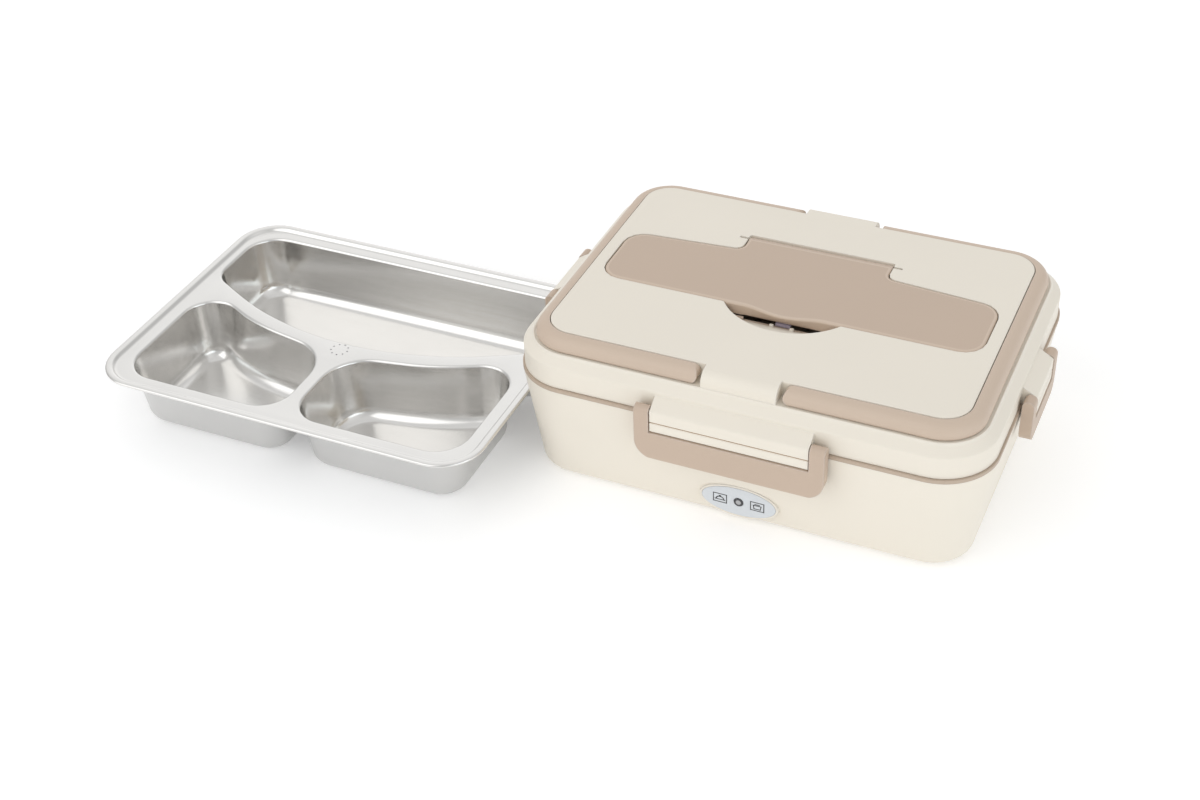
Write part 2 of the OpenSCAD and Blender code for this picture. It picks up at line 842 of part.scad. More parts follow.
module power_inlet() {
    floor_out = inlet_face_out - socket_depth;
    color(black)
    on_side(2)
    difference() {
        union() {
            inlet_block(inlet_flange_l / 2, inlet_flange_h / 2, inlet_corner_r,
                        inlet_face_out - inlet_flange_t, inlet_face_out);
            inlet_block(inlet_body_l / 2, inlet_body_h / 2, inlet_corner_r,
                        floor_out - inlet_back_t, inlet_face_out);
        }
        inlet_block(socket_l / 2, socket_h / 2, socket_h / 2 - pin_seat, floor_out, inlet_face_out + overrun);
        for (sx = [-1, 1])
            outward(sx * pin_pitch / 2, inlet_z, inlet_pin_r + pin_seat,
                    floor_out - inlet_back_t - overrun, floor_out + overrun);
    }
}

module inlet_pins() {
    floor_out = inlet_face_out - socket_depth;
    color(steel)
    on_side(2)
    for (sx = [-1, 1])
        outward(sx * pin_pitch / 2, inlet_z, inlet_pin_r,
                floor_out - inlet_back_t - inlet_tail, inlet_face_out - inlet_pin_short);
}

// A lead through the given points, its bends rounded by a curve between the middles of its legs
function bend_points(points) =
    concat([points[0]],
        [for (i = [1 : len(points) - 2])
            let (a = (points[i - 1] + points[i]) / 2, b = (points[i] + points[i + 1]) / 2)
            each [for (k = [0 : lead_turn_steps]) let (t = k / lead_turn_steps)
                (1 - t) * (1 - t) * a + 2 * t * (1 - t) * points[i] + t * t * b]],
        [points[len(points) - 1]]);

function apart(points) =
    [for (i = [0 : len(points) - 1]) if (i == 0 || norm(points[i] - points[i - 1]) > pin_play) points[i]];

function lead_ring(at, way) =
    let (w = unit(way), up = abs(w[2]) > cos(45) ? [1, 0, 0] : [0, 0, 1],
         u = unit(cross(up, w)), v = cross(w, u))
    [for (i = [0 : lead_sides - 1]) let (a = -360 * i / lead_sides)
        at + lead_r * (cos(a) * u + sin(a) * v)];

module lead(points) {
    path = apart(bend_points(points));
    last = len(path) - 1;
    stack([for (i = [0 : last])
        lead_ring(path[i], path[min(i + 1, last)] - path[max(i - 1, 0)])]);
}

module wire_harness() {
    tail_y = panel_w / 2 - socket_depth + inlet_face_out - inlet_back_t - inlet_tail - lead_end_gap;
    board_back_y = -panel_w / 2 - board_out + board_t + lead_end_gap;
    tab_x = heater_l / 2 + heater_tab_l + lead_end_gap;
    tab_z = heater_z + heater_tab_t / 2;
    fuse_x = fuse_l / 2 + lead_end_gap;
    fuse_z = liner_floor_z - fuse_r - panel_fit;
    probe_z = liner_floor_z - thermostat_h - thermostat_tab_h - lead_end_gap;
    mid_z = (board_z + oval_z) / 2;
    color(lead_red) {
        lead([
            [pin_pitch / 2, tail_y, inlet_z], [pin_pitch / 2, tail_y - liner_boss_r, inlet_z],
            [lead_side_x, tail_y - 2 * liner_boss_r, lead_z], [lead_side_x + liner_boss_r, -clamp_y, lead_z],
            [lead_side_x - clamp_y, board_back_y + clamp_y / 2, mid_z],
            [oval_x + post_x / 2, board_back_y + liner_boss_r, mid_z], [oval_x + post_x / 2, board_back_y, mid_z]
        ]);
        lead([
            [-pin_pitch / 2, tail_y, inlet_z], [-pin_pitch / 2, tail_y - liner_boss_r, inlet_z],
            [-clamp_y, fuse_y + clamp_y / 2, lead_z], [-clamp_y, fuse_y, fuse_z], [-fuse_x, fuse_y, fuse_z]
        ]);
        lead([
            [fuse_x, fuse_y, fuse_z], [clamp_y, fuse_y, fuse_z], [tab_x + heater_tab_l, fuse_y, tab_z],
            [tab_x + heater_tab_l, 0, tab_z - lead_dip / 2], [tab_x, 0, tab_z]
        ]);
        lead([
            [-tab_x, 0, tab_z], [-tab_x - heater_tab_l, 0, tab_z - lead_dip / 2],
            [-tab_x - heater_tab_l, board_back_y + clamp_y / 2, mid_z],
            [oval_x - post_x / 2, board_back_y + clamp_y / 2, mid_z],
            [oval_x - post_x / 2, board_back_y, mid_z]
        ]);
        lead([
            [thermostat_x - thermostat_tab_x, 0, probe_z], [thermostat_x - thermostat_tab_x, 0, probe_z - lead_dip],
            [thermostat_x - clamp_y, -clamp_y, lead_dip + foot_h + bottom_t],
            [oval_x, board_back_y + clamp_y / 2, lead_dip + foot_h + bottom_t],
            [oval_x, board_back_y + liner_boss_r, mid_z], [oval_x, board_back_y, mid_z]
        ]);
    }
}

module bottom_cover() {
    edge = cover_seat_w;
    color(cream)
    difference() {
        union() {
            round_slab(panel_l / 2 - edge, panel_w / 2 - edge, panel_r - edge, foot_h, bottom_t);
            for (sx = [-1, 1])
                for (sy = [-1, 1])
                    translate([sx * liner_boss_x, sy * liner_boss_y, foot_h])
                        cylinder(r = cup_r, h = bottom_t + cup_rise);
        }
        for (sx = [-1, 1])
            for (sy = [-1, 1])
                translate([sx * liner_boss_x, sy * liner_boss_y, foot_h - overrun]) {
                    cylinder(r = cup_bore_r, h = cup_rise + overrun);
                    cylinder(r = base_screw_hole_r, h = cup_rise + bottom_t + 2 * overrun);
                }
    }
}

module base_screws() {
    color(steel)
    for (sx = [-1, 1])
        for (sy = [-1, 1])
            translate([sx * liner_boss_x, sy * liner_boss_y, foot_h + cup_rise])
                screw(base_screw_r, base_screw_l, base_head_r, base_head_h);
}

module feet() {
    color(silicone)
    intersection() {
        swept_panel() translate([-foot_in, 0]) square([foot_in + foot_out, foot_h]);
        union()
            for (sx = [-1, 1])
                for (sy = [-1, 1])
                    translate([sx * (panel_l / 2 - panel_r - foot_leg_x + panel_l / 2) ,
                               sy * (panel_w / 2 - panel_r - foot_leg_y + panel_w / 2), foot_h / 2])
                        cube([panel_l, panel_w, foot_h + overrun], center = true);
    }
}

module lid_profile() {
    inner_out = skirt_out - shell_t;
    floor_in_z = channel_z - shell_t;
    polygon(concat(
        [[skirt_out, lid_z]],
        arc(skirt_out - skirt_edge_r, ledge_z - skirt_edge_r, skirt_edge_r, 0, ledge_angle),
        [[lip_out + lip_foot, lip_z - lip_step]],
        arc(lip_out - lip_r, lip_z - lip_r, lip_r, 0, 90),
        [[lip_out - lip_r - lip_r, channel_z], [0, channel_z]],
        arc(-panel_edge_r, top_z - panel_edge_r, panel_edge_r, 0, 90),
        [
            [-shell_t - lap, top_z], [-shell_t - lap, panel_under_z], [-shell_t, panel_under_z],
            [-shell_t, floor_in_z], [lip_out - shell_t, floor_in_z],
            [inner_out, ledge_z - shell_t + skirt_edge_r / 2], [inner_out, lid_z]
        ]));
}

module tab_profile() {
    polygon(concat(
        [[-shell_t / 2, channel_z - shell_t / 2], [-shell_t / 2, top_z]],
        arc(tab_flat, top_z - tab_r, tab_r, 90, 0, 2 * arc_steps),
        [[lip_out - lip_r, lip_z - lip_r / 2], [lip_out - lip_r, channel_z - shell_t / 2]]));
}

module lug_profile() {
    polygon(concat(
        [[skirt_out - shell_t / 2, lid_z], [base_out + flange_clear, lid_z], [base_out + flange_clear, lug_z]],
        [[lug_out - strip_edge / 2, lug_z], [lug_out, lug_z + strip_edge / 2]],
        arc(lug_out - lug_edge_r, lug_z + lug_face_h - lug_edge_r, lug_edge_r, 0, lug_slope_angle),
        [[skirt_out - shell_t / 2, ledge_z - lug_step]]));
}

// The space above the scoop's sloping floor, within its steep round side
module scoop_space(grow) {
    side_run = (scoop_drop + 2 * grow + lap) / tan(scoop_side_angle);
    intersection() {
        translate([0, scoop_r - scoop_apex_y, top_z - scoop_drop - 2 * grow - lap])
            cylinder(r1 = scoop_r + grow - side_run,
                     r2 = scoop_r + grow + overrun / tan(scoop_side_angle),
                     h = scoop_drop + 2 * grow + lap + overrun);
        translate([0, -scoop_apex_y, top_z - grow / cos(scoop_slope)])
            rotate([-scoop_slope, 0, 0])
                translate([-2 * scoop_half, -scoop_reach, 0])
                    cube([4 * scoop_half, 3 * scoop_reach, 2 * (scoop_drop + grow)]);
    }
}

module scoop_wall() {
    intersection() {
        scoop_space(scoop_t);
        translate([-2 * scoop_half, -2 * scoop_apex_y, tub_floor_z])
            cube([4 * scoop_half, 2 * scoop_apex_y - scoop_wall_y, panel_under_z + lap / 2 - tub_floor_z]);
    }
}

module latch_cheeks() {
    for (sx = [-1, 1])
        translate([latch_x + sx * (latch_w / 2 + cheek_gap + cheek_w / 2) - cheek_w / 2,
                   -scoop_wall_y - cheek_t, top_z - scoop_drop - scoop_t / 2])
            cube([cheek_w, cheek_t, cheek_h + scoop_t / 2]);
}

module hinge_block() {
    front_y = hinge_y - hinge_block_front;
    back_y = hinge_y + knuckle_r + cover_gap + hinge_block_t;
    low_z = hinge_z - knuckle_r - cover_gap - hinge_block_t;
    half = leaf_half + hinge_block_over;
    translate([-half, front_y, low_z]) cube([2 * half, back_y - front_y, panel_under_z + lap / 2 - low_z]);
}

module hinge_space() {
    half = leaf_half + cover_gap;
    sideways(-half, hinge_y, hinge_z, knuckle_r + cover_gap, 2 * half);
    translate([-half, hinge_y - 2 * hinge_block_front, hinge_z - knuckle_r - cover_gap])
        cube([2 * half, 2 * hinge_block_front, knuckle_r + cover_gap]);
    for (sx = [-1, 1]) {
        sideways(sx > 0 ? half - overrun : -half - cover_pin_hold, hinge_y, hinge_z,
                 cover_pin_r + pin_seat, cover_pin_hold + overrun);
        translate([sx > 0 ? half - overrun : -half - cover_pin_hold, hinge_y - hinge_slot_w / 2, hinge_z])
            cube([cover_pin_hold + overrun, hinge_slot_w, knuckle_r + overrun]);
    }
}

module lid_boss_places() {
    for (sx = [-1, 0, 1])
        for (sy = [-1, 1])
            translate([sx * lid_screw_x, sy * lid_screw_y, 0]) children();
}

module lid_shell() {
    color(cream)
    difference() {
        union() {
            swept_panel() lid_profile();
            round_slab(panel_l / 2 - shell_t, panel_w / 2 - shell_t, panel_r - shell_t, panel_under_z, shell_t);
            for (side = [0, 2])
                on_side(side) {
                    along_side(2 * tab_half) tab_profile();
                    for (sx = [-1, 1])
                        outward(sx * pivot_x, handle_z + handle_h / 2, handle_boss_r,
                                -handle_pin_hold - shell_t, -shell_t / 2);
                }
            for (side = [0 : 3])
                on_side(side) along_side(2 * lug_half(side)) lug_profile();
            lid_boss_places()
                translate([0, 0, lid_boss_z]) cylinder(r = lid_boss_r, h = panel_under_z + lap / 2 - lid_boss_z);
            scoop_wall();
            hinge_block();
        }
        translate([0, 0, panel_under_z - overrun])
            linear_extrude(shell_t + 2 * overrun)
                polygon(cover_outline(-cover_gap, hinge_y + knuckle_r));
        hinge_space();
        scoop_space(0);
        for (side = [0, 2])
            on_side(side)
                for (sx = [-1, 1])
                    outward(sx * pivot_x, handle_z + handle_h / 2, hinge_pin_r + pin_seat,
                            -handle_pin_hold, overrun);
        for (side = [0 : 3])
            on_side(side)
                for (sx = [-1, 1])
                    sideways(sx > 0 ? lug_half(side) - clasp_pin_hold : -lug_half(side) - overrun,
                             -clasp_out, clasp_z, hinge_pin_r + pin_seat, clasp_pin_hold + overrun);
        lid_boss_places()
            translate([0, 0, lid_boss_z - overrun])
                cylinder(r = lid_screw_r + pin_seat, h = lid_screw_l + overrun);
    }
    color(cream) latch_cheeks();
}

module lid_inner_plate() {
    edge = skirt_out - shell_t - lid_plate_gap;
    groove_in = seal_in + seal_w + seal_side_gap;
    color(cream)
    difference() {
        union() {
            round_slab(panel_l / 2 + edge, panel_w / 2 + edge, panel_r + edge, lid_plate_z, lid_plate_t);
            swept(tray_l / 2, tray_w / 2, tray_r)
                translate([seal_ring_out - seal_ring_w, lid_plate_z + lid_plate_t / 2])
                    square([seal_ring_w, seal_groove + lid_plate_t / 2]);
            lid_boss_places()
                translate([0, 0, lid_plate_z]) cylinder(r = lid_pad_r, h = lid_plate_t + lid_pad_h);
        }
        swept(tray_l / 2, tray_w / 2, tray_r)
            translate([-groove_in, lid_plate_z - overrun])
                square([seal_w + 2 * seal_side_gap, seal_groove + overrun]);
        lid_boss_places()
            translate([0, 0, lid_plate_z - overrun]) {
                cylinder(r = lid_screw_hole_r, h = lid_plate_t + lid_pad_h + 2 * overrun);
                cylinder(r = lid_head_r + lid_head_sink, h = lid_head_h + lid_head_sink + overrun);
            }
    }
}

module lid_seal() {
    low = seam_z + sheet_t - lid_gap;
    color(silicone)
    swept(tray_l / 2, tray_w / 2, tray_r)
        translate([-seal_in - seal_w, low])
            square([seal_w, lid_plate_z + seal_groove - low]);
}

module lid_screws() {
    color(steel)
    lid_boss_places()
        translate([0, 0, lid_plate_z + lid_head_h + lid_head_sink])
            screw(lid_screw_r, lid_screw_l, lid_head_r, lid_head_h);
}

tub_back_y = hinge_y - hinge_block_front - tub_t - 2 * cover_gap;

module cutlery_tub() {
    color(beige)
    difference() {
        translate([0, 0, tub_floor_z - tub_t])
            linear_extrude(panel_under_z - tub_floor_z + tub_t)
                polygon(cover_outline(-cover_gap - tub_t, tub_back_y));
        translate([0, 0, tub_floor_z])
            linear_extrude(tub_depth)
                polygon(cover_outline(-cover_gap, tub_back_y));
        translate([-slot_half, -scoop_wall_y - overrun, top_z - scoop_drop - seal_clear])
            cube([2 * slot_half, 2 * tub_t + overrun, tub_depth]);
        translate([-scoop_half, -scoop_wall_y - overrun, top_z - cover_rim - cover_gap])
            cube([2 * scoop_half, 2 * tub_t + overrun, tub_depth]);
        translate([-leaf_half - cover_gap, tub_back_y, top_z - cover_t - 2 * cover_gap])
            cube([2 * (leaf_half + cover_gap), 2 * tub_t, tub_depth]);
    }
}

module cutlery_cover() {
    color(beige)
    difference() {
        union() {
            difference() {
                translate([0, 0, top_z - cover_rim]) linear_extrude(cover_rim) polygon(cover_outline(0, hinge_y));
                translate([0, 0, top_z - cover_rim - overrun])
                    linear_extrude(cover_rim - cover_t + overrun)
                        polygon(cover_outline(cover_wall, hinge_y + knuckle_r));
                translate([-leaf_half - overrun, tub_back_y - cover_gap, top_z - 2 * cover_rim])
                    cube([2 * (leaf_half + overrun), 2 * tub_depth, 2 * cover_rim - cover_t]);
            }
            sideways(-leaf_half, hinge_y, hinge_z, knuckle_r, 2 * leaf_half);
        }
        for (sx = [-1, 1])
            sideways(sx > 0 ? leaf_half - cover_pin_reach : -leaf_half - overrun, hinge_y, hinge_z,
                     cover_pin_r + pin_play, cover_pin_reach + overrun);
    }
}

module cover_pins() {
    length = cover_pin_reach + cover_gap + cover_pin_hold - 2 * pin_end_gap;
    color(steel)
    for (sx = [-1, 1])
        sideways(sx > 0 ? leaf_half - cover_pin_reach + pin_end_gap : -leaf_half + cover_pin_reach - pin_end_gap - length,
                 hinge_y, hinge_z, cover_pin_r, length);
}

module cover_latch() {
    rim_z = top_z - cover_rim;
    color(lilac) {
        translate([latch_x - latch_w / 2, -cover_front + cover_wall, rim_z - latch_drop])
            cube([latch_w, latch_back, latch_drop + latch_up]);
        translate([latch_x - latch_w / 2, -cover_front - latch_reach, rim_z - latch_drop])
            cube([latch_w, cover_wall + latch_reach + overrun, latch_drop]);
    }
}

module handle_profile() {
    outer = handle_gap + handle_w;
    polygon(concat(
        [[handle_gap, handle_z]],
        arc(outer - handle_edge_r, handle_z + handle_edge_r, handle_edge_r, -90, 0, 2),
        crown(outer - handle_crown_w, handle_top_z - handle_crown_h, handle_crown_w, handle_crown_h,
              0, 90, 2 * arc_steps),
        [[handle_gap, handle_top_z]]));
}

// One carry handle, on the right
module handle() {
    far = panel_l + panel_w;
    difference() {
        intersection() {
            swept_panel() handle_profile();
            union() {
                translate([pivot_x, -far, 0]) cube([far, 2 * far, 2 * top_z]);
                translate([pivot_x, far, handle_z + handle_h / 2])
                    rotate([90, 0, 0]) cylinder(r = handle_h / 2, h = 2 * far);
            }
        }
        for (side = [0, 2])
            on_side(side)
                outward(side == 0 ? pivot_x : -pivot_x, handle_z + handle_h / 2, hinge_pin_r + pin_play,
                        0, handle_gap + handle_pin_reach);
    }
}

module right_handle() {
    color(beige) handle();
}

module left_handle() {
    color(beige) mirror([1, 0, 0]) handle();
}

module handle_pins() {
    color(steel)
    for (side = [0, 2])
        on_side(side)
            for (sx = [-1, 1])
                outward(sx * pivot_x, handle_z + handle_h / 2, hinge_pin_r,
                        pin_end_gap - handle_pin_hold, handle_gap + handle_pin_reach - pin_end_gap);
}

// A U-shaped clasp, seen from the front with its pivot at clasp_z
module clasp(half, arm_w, reach, corner_r) {
    outer = half + arm_w;
    low_z = clasp_z - reach;
    top = clasp_z + clasp_t / 2;
    back = clasp_out - clasp_t / 2;
    difference() {
        intersection() {
            translate([0, -back + overrun, 0]) rotate([90, 0, 0])
                linear_extrude(clasp_t + 2 * overrun) {
                    translate([-outer, low_z + corner_r]) square([2 * outer, top - low_z - corner_r]);
                    translate([-outer + corner_r, low_z]) square([2 * (outer - corner_r), 2 * corner_r]);
                    for (sx = [-1, 1])
                        translate([sx * (outer - corner_r), low_z + corner_r]) circle(corner_r);
                }
            along_side(2 * outer + overrun) {
                translate([back, low_z + clasp_edge_r]) square([clasp_t, reach - clasp_edge_r]);
                translate([back + clasp_edge_r, low_z])
                    square([clasp_t - 2 * clasp_edge_r, 2 * clasp_edge_r]);
                for (edge = [back + clasp_edge_r, back + clasp_t - clasp_edge_r])
                    translate([edge, low_z + clasp_edge_r]) circle(clasp_edge_r);
                translate([clasp_out, clasp_z]) circle(clasp_t / 2);
            }
        }
        translate([-half, -back - clasp_t - overrun, bar_top_z])
            cube([2 * half, clasp_t + 2 * overrun, top - bar_top_z + overrun]);
        for (sx = [-1, 1])
            sideways(sx > 0 ? half - overrun : -half - clasp_pin_arm, -clasp_out, clasp_z,
                     hinge_pin_r + pin_play, clasp_pin_arm + overrun);
    }
}

module side_clasp(side) {
    color(beige)
    on_side(side)
        if (side % 2 == 0)
            clasp(long_clasp_half, long_arm_w, long_reach, long_corner_r);
        else
            clasp(side_clasp_half, side_arm_w, side_reach, side_corner_r);
}

module front_clasp() { side_clasp(0); }
module right_clasp() { side_clasp(1); }
module rear_clasp() { side_clasp(2); }
module left_clasp() { side_clasp(3); }

module clasp_pins() {
    length = clasp_pin_hold + arm_gap + clasp_pin_arm - 2 * pin_end_gap;
    color(steel)
    for (side = [0 : 3])
        on_side(side)
            for (sx = [-1, 1])
                sideways(sx > 0 ? lug_half(side) - clasp_pin_hold + pin_end_gap
                                : -clasp_half(side) - clasp_pin_arm + pin_end_gap,
                         -clasp_out, clasp_z, hinge_pin_r, length);
}

// Outline of the back compartment: its front edge bows towards the front pair
function bow(x) = x * x / (2 * divider_bend_r) - divider_y;
back_half = pocket_half_x - back_side_edge;
front_half = pocket_half_x - front_side_edge;
back_cup_points = concat(
    [for (s = divider_shares) [-s * back_half, bow(s * back_half)]],
    [for (k = [1 : len(divider_shares)]) let (s = divider_shares[len(divider_shares) - k])
        [s * back_half, bow(s * back_half)]],
    [[back_half, pocket_half_y - back_back_edge], [-back_half, pocket_half_y - back_back_edge]]);
back_cup_radii = [
    back_cup_low_r, divider_bend_r, divider_bend_r, divider_bend_r, divider_bend_r, back_cup_low_r,
    back_cup_r, back_cup_r
];

function front_back(x) = [x, bow(x) - divider_w];
front_cup_points = [
    [web_w / 2, front_front_edge - pocket_half_y], [front_half, front_front_edge - pocket_half_y],
    front_back(front_half), front_back(front_bend_share * front_half), front_back(web_w / 2)
];
front_cup_radii = [front_near_r, front_far_r, front_back_r, front_bend_r, front_web_r];

// Rings of a compartment from its floor fillet up over the bend at its opening; grow moves them to
// the outside of the sheet
function cup_rings(points, radii, grow) =
    let (floor_z = sheet_t - grow, top = tray_h - rim_step, r = cup_fillet + grow, lip = cup_lip_r - grow)
    concat(
        [for (k = [0 : fillet_steps]) let (a = 90 * k / fillet_steps)
            at_height(rounded(points, radii, cup_draft + cup_fillet - r * sin(a), cup_turn_steps),
                      floor_z + r - r * cos(a))],
        [for (k = [0 : lip_steps]) let (a = 90 * k / lip_steps)
            at_height(rounded(points, radii, lip * cos(a), cup_turn_steps),
                      top - cup_lip_r + lip * sin(a))],
        [at_height(rounded(points, radii, 0, cup_turn_steps), top + (grow > 0 ? -sheet_t / 2 : overrun))]);

module cups(grow) {
    stack(cup_rings(back_cup_points, back_cup_radii, grow));
    stack(cup_rings(front_cup_points, front_cup_radii, grow));
    mirror([1, 0, 0]) stack(cup_rings(front_cup_points, front_cup_radii, grow));
}

module rounded_block(half_x, half_y, r, z, h) {
    hull()
        for (sx = [-1, 1])
            for (sy = [-1, 1])
                translate([sx * (half_x - r), sy * (half_y - r), z]) cylinder(r = r, h = h);
}

// The same block with its upper edge cut back
module soft_block(half_x, half_y, r, z, h) {
    hull() {
        rounded_block(half_x, half_y, r, z, h - rim_edge);
        rounded_block(half_x - rim_edge, half_y - rim_edge, r - rim_edge, z, h);
    }
}

module food_tray() {
    half_x = tray_l / 2;
    half_y = tray_w / 2;
    inner = rim_w - sheet_t;
    color(steel)
    translate([-tray_x, -tray_y, 0])
    difference() {
        union() {
            soft_block(half_x, half_y, tray_r, tray_h - rim_hem, rim_hem);
            rounded_block(half_x - inner, half_y - inner, tray_r - inner,
                          tray_h - rim_step - sheet_t, rim_step + sheet_t - rim_edge);
            cups(sheet_t);
        }
        difference() {
            rounded_block(half_x - sheet_t, half_y - sheet_t, tray_r - sheet_t,
                          tray_h - rim_hem - overrun, rim_hem + overrun - sheet_t);
            rounded_block(half_x - inner, half_y - inner, tray_r - inner,
                          tray_h - 2 * rim_hem - overrun, 2 * rim_hem + overrun);
        }
        rounded_block(pocket_half_x, pocket_half_y, pocket_r, tray_h - rim_step, rim_step + overrun);
        cups(0);
    }
}

// Place of the tray, and the middle of the box and the tray together, from the box's own middle
tray_x = panel_l / 2 + wall_out(tray_h) + tray_gap + tray_l / 2;
middle_x = (panel_l / 2 + clasp_out + clasp_t / 2 - tray_x - tray_l / 2) / 2;
middle_y = (panel_w / 2 + clasp_out + clasp_t / 2 - tray_y - tray_w / 2) / 2;

translate([-middle_x, -middle_y, 0]) {
    base_shell();
    inner_liner();
    heating_plate();
    ptc_heater();
    heater_clamp();
    clamp_screws();
    thermostat();
    thermal_fuse();
    control_board();
    board_screws();
    tact_switch();
    switch_plunger();
    indicator_leds();
    control_panel();
    power_button();
    power_inlet();
    inlet_pins();
    wire_harness();
    bottom_cover();
    base_screws();
    feet();
    lid_shell();
    lid_inner_plate();
    lid_seal();
    lid_screws();
    cutlery_tub();
    cutlery_cover();
    cover_pins();
    cover_latch();
    left_handle();
    right_handle();
    handle_pins();
    front_clasp();
    rear_clasp();
    left_clasp();
    right_clasp();
    clasp_pins();
    food_tray();
}
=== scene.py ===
import json
import math

import bpy
import bmesh
from mathutils import Matrix, Vector


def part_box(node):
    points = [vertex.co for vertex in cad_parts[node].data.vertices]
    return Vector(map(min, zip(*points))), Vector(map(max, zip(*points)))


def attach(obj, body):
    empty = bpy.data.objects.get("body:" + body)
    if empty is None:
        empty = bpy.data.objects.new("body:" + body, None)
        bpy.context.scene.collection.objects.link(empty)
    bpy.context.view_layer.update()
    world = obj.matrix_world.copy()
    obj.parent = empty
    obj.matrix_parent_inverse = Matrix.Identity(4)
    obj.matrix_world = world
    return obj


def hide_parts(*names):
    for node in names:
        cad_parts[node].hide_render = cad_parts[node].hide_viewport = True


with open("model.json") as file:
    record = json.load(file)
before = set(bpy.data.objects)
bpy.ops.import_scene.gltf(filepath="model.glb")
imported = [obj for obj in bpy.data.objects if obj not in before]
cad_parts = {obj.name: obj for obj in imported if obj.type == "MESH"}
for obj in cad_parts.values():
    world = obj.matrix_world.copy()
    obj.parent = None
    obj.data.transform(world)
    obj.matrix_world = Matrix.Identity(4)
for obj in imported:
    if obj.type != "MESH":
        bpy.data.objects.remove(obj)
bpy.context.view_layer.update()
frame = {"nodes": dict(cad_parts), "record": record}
NODES = frame["nodes"]

# Middle of the box on the ground, in the part's frame
low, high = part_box("lid_shell")
MID = Vector(((low.x + high.x) / 2, (low.y + high.y) / 2, 0))


# Camera
AZIMUTH, ELEVATION, ROLL = math.radians(25.515), math.radians(37.116), math.radians(-2.4447)
CAMERA_PLACE = Vector((0.23168, -0.71509, 0.58641))  # from the middle of the box
camera_data = bpy.data.cameras.new("camera")
camera_data.sensor_fit = "HORIZONTAL"
camera_data.sensor_width = 36
camera_data.lens = 54.36
camera_data.clip_start = 0.01
camera = bpy.data.objects.new("camera", camera_data)
bpy.context.scene.collection.objects.link(camera)
back = Vector((math.sin(AZIMUTH), -math.cos(AZIMUTH), 0)) * math.cos(ELEVATION)
back.z = math.sin(ELEVATION)
level = Vector((0, 0, 1)).cross(back).normalized()
upright = back.cross(level)
right = level * math.cos(ROLL) + upright * math.sin(ROLL)
up = upright * math.cos(ROLL) - level * math.sin(ROLL)
turn = Matrix((right, up, back)).transposed().to_4x4()
camera.matrix_world = Matrix.Translation(MID + CAMERA_PLACE) @ turn
bpy.context.scene.camera = camera
bpy.context.scene.view_settings.view_transform = "Standard"


# Materials
PLASTIC_CLOUD, PLASTIC_SPREAD, GRAIN_STRENGTH, GRAIN_DEPTH = 18, 0.05, 0.35, 0.00002
PLASTIC_SPECULAR, COAT_ROUGHNESS = 0.4, 0.15
STEEL_CLOUD, STEEL_DRIFT, STREAK_STRENGTH = 30, 0.03, 0.3
# Outer edges painted lighter: partly wear from handling, partly a painted highlight
EDGE_WEAR_HIGHLIGHT_RADIUS, EDGE_WEAR_HIGHLIGHT_SHARE, EDGE_WEAR_HIGHLIGHT_LIGHTER = 0.0009, 0.8, 0.22
EDGE_WEAR_HIGHLIGHT_BENT, EDGE_WEAR_HIGHLIGHT_FLAT = 0.90, 0.995  # cosine between the rounded and the true normal
EDGE_SAMPLES, EDGE_WEAR_HIGHLIGHT_SAMPLES = 6, 8


def new_material(name):
    """A material with an empty node tree but for its shader."""
    material = bpy.data.materials.new(name)
    material.use_nodes = True
    nodes = material.node_tree.nodes
    nodes.clear()
    out = nodes.new("ShaderNodeOutputMaterial")
    shader = nodes.new("ShaderNodeBsdfPrincipled")
    material.node_tree.links.new(shader.outputs["BSDF"], out.inputs["Surface"])
    return material, nodes, material.node_tree.links, shader


def srgb(*levels):
    """A colour from the levels 0 to 255 that a screen shows."""
    return tuple(c / 255 / 12.92 if c <= 10 else ((c / 255 + 0.055) / 1.055) ** 2.4 for c in levels) + (1.0,)


def noise(nodes, links, scale, detail=2.0, stretch=None):
    """Noise over the object's own coordinates, stretched along an axis where its scale is low."""
    coords = nodes.new("ShaderNodeTexCoord")
    texture = nodes.new("ShaderNodeTexNoise")
    texture.inputs["Scale"].default_value = scale
    texture.inputs["Detail"].default_value = detail
    source = coords.outputs["Object"]
    if stretch:
        mapping = nodes.new("ShaderNodeMapping")
        mapping.inputs["Scale"].default_value = stretch
        links.new(source, mapping.inputs["Vector"])
        source = mapping.outputs["Vector"]
    links.new(source, texture.inputs["Vector"])
    return texture


def ramp(nodes, links, source, low_value, high_value, low_pos=0.3, high_pos=0.7):
    """A value that runs from low to high while the source runs from low_pos to high_pos."""
    node = nodes.new("ShaderNodeMapRange")
    node.inputs["From Min"].default_value = low_pos
    node.inputs["From Max"].default_value = high_pos
    node.inputs["To Min"].default_value = low_value
    node.inputs["To Max"].default_value = high_value
    links.new(source, node.inputs["Value"])
    return node.outputs["Result"]


def tint(nodes, links, source, color, share):
    """A colour that drifts a little darker and lighter with the source."""
    mix = nodes.new("ShaderNodeMix")
    mix.data_type = "RGBA"
    mix.inputs["A"].default_value = tuple(c * (1 - share) for c in color[:3]) + (1,)
    mix.inputs["B"].default_value = tuple(min(1, c * (1 + share)) for c in color[:3]) + (1,)
    links.new(source, mix.inputs["Factor"])
    return mix.outputs["Result"]


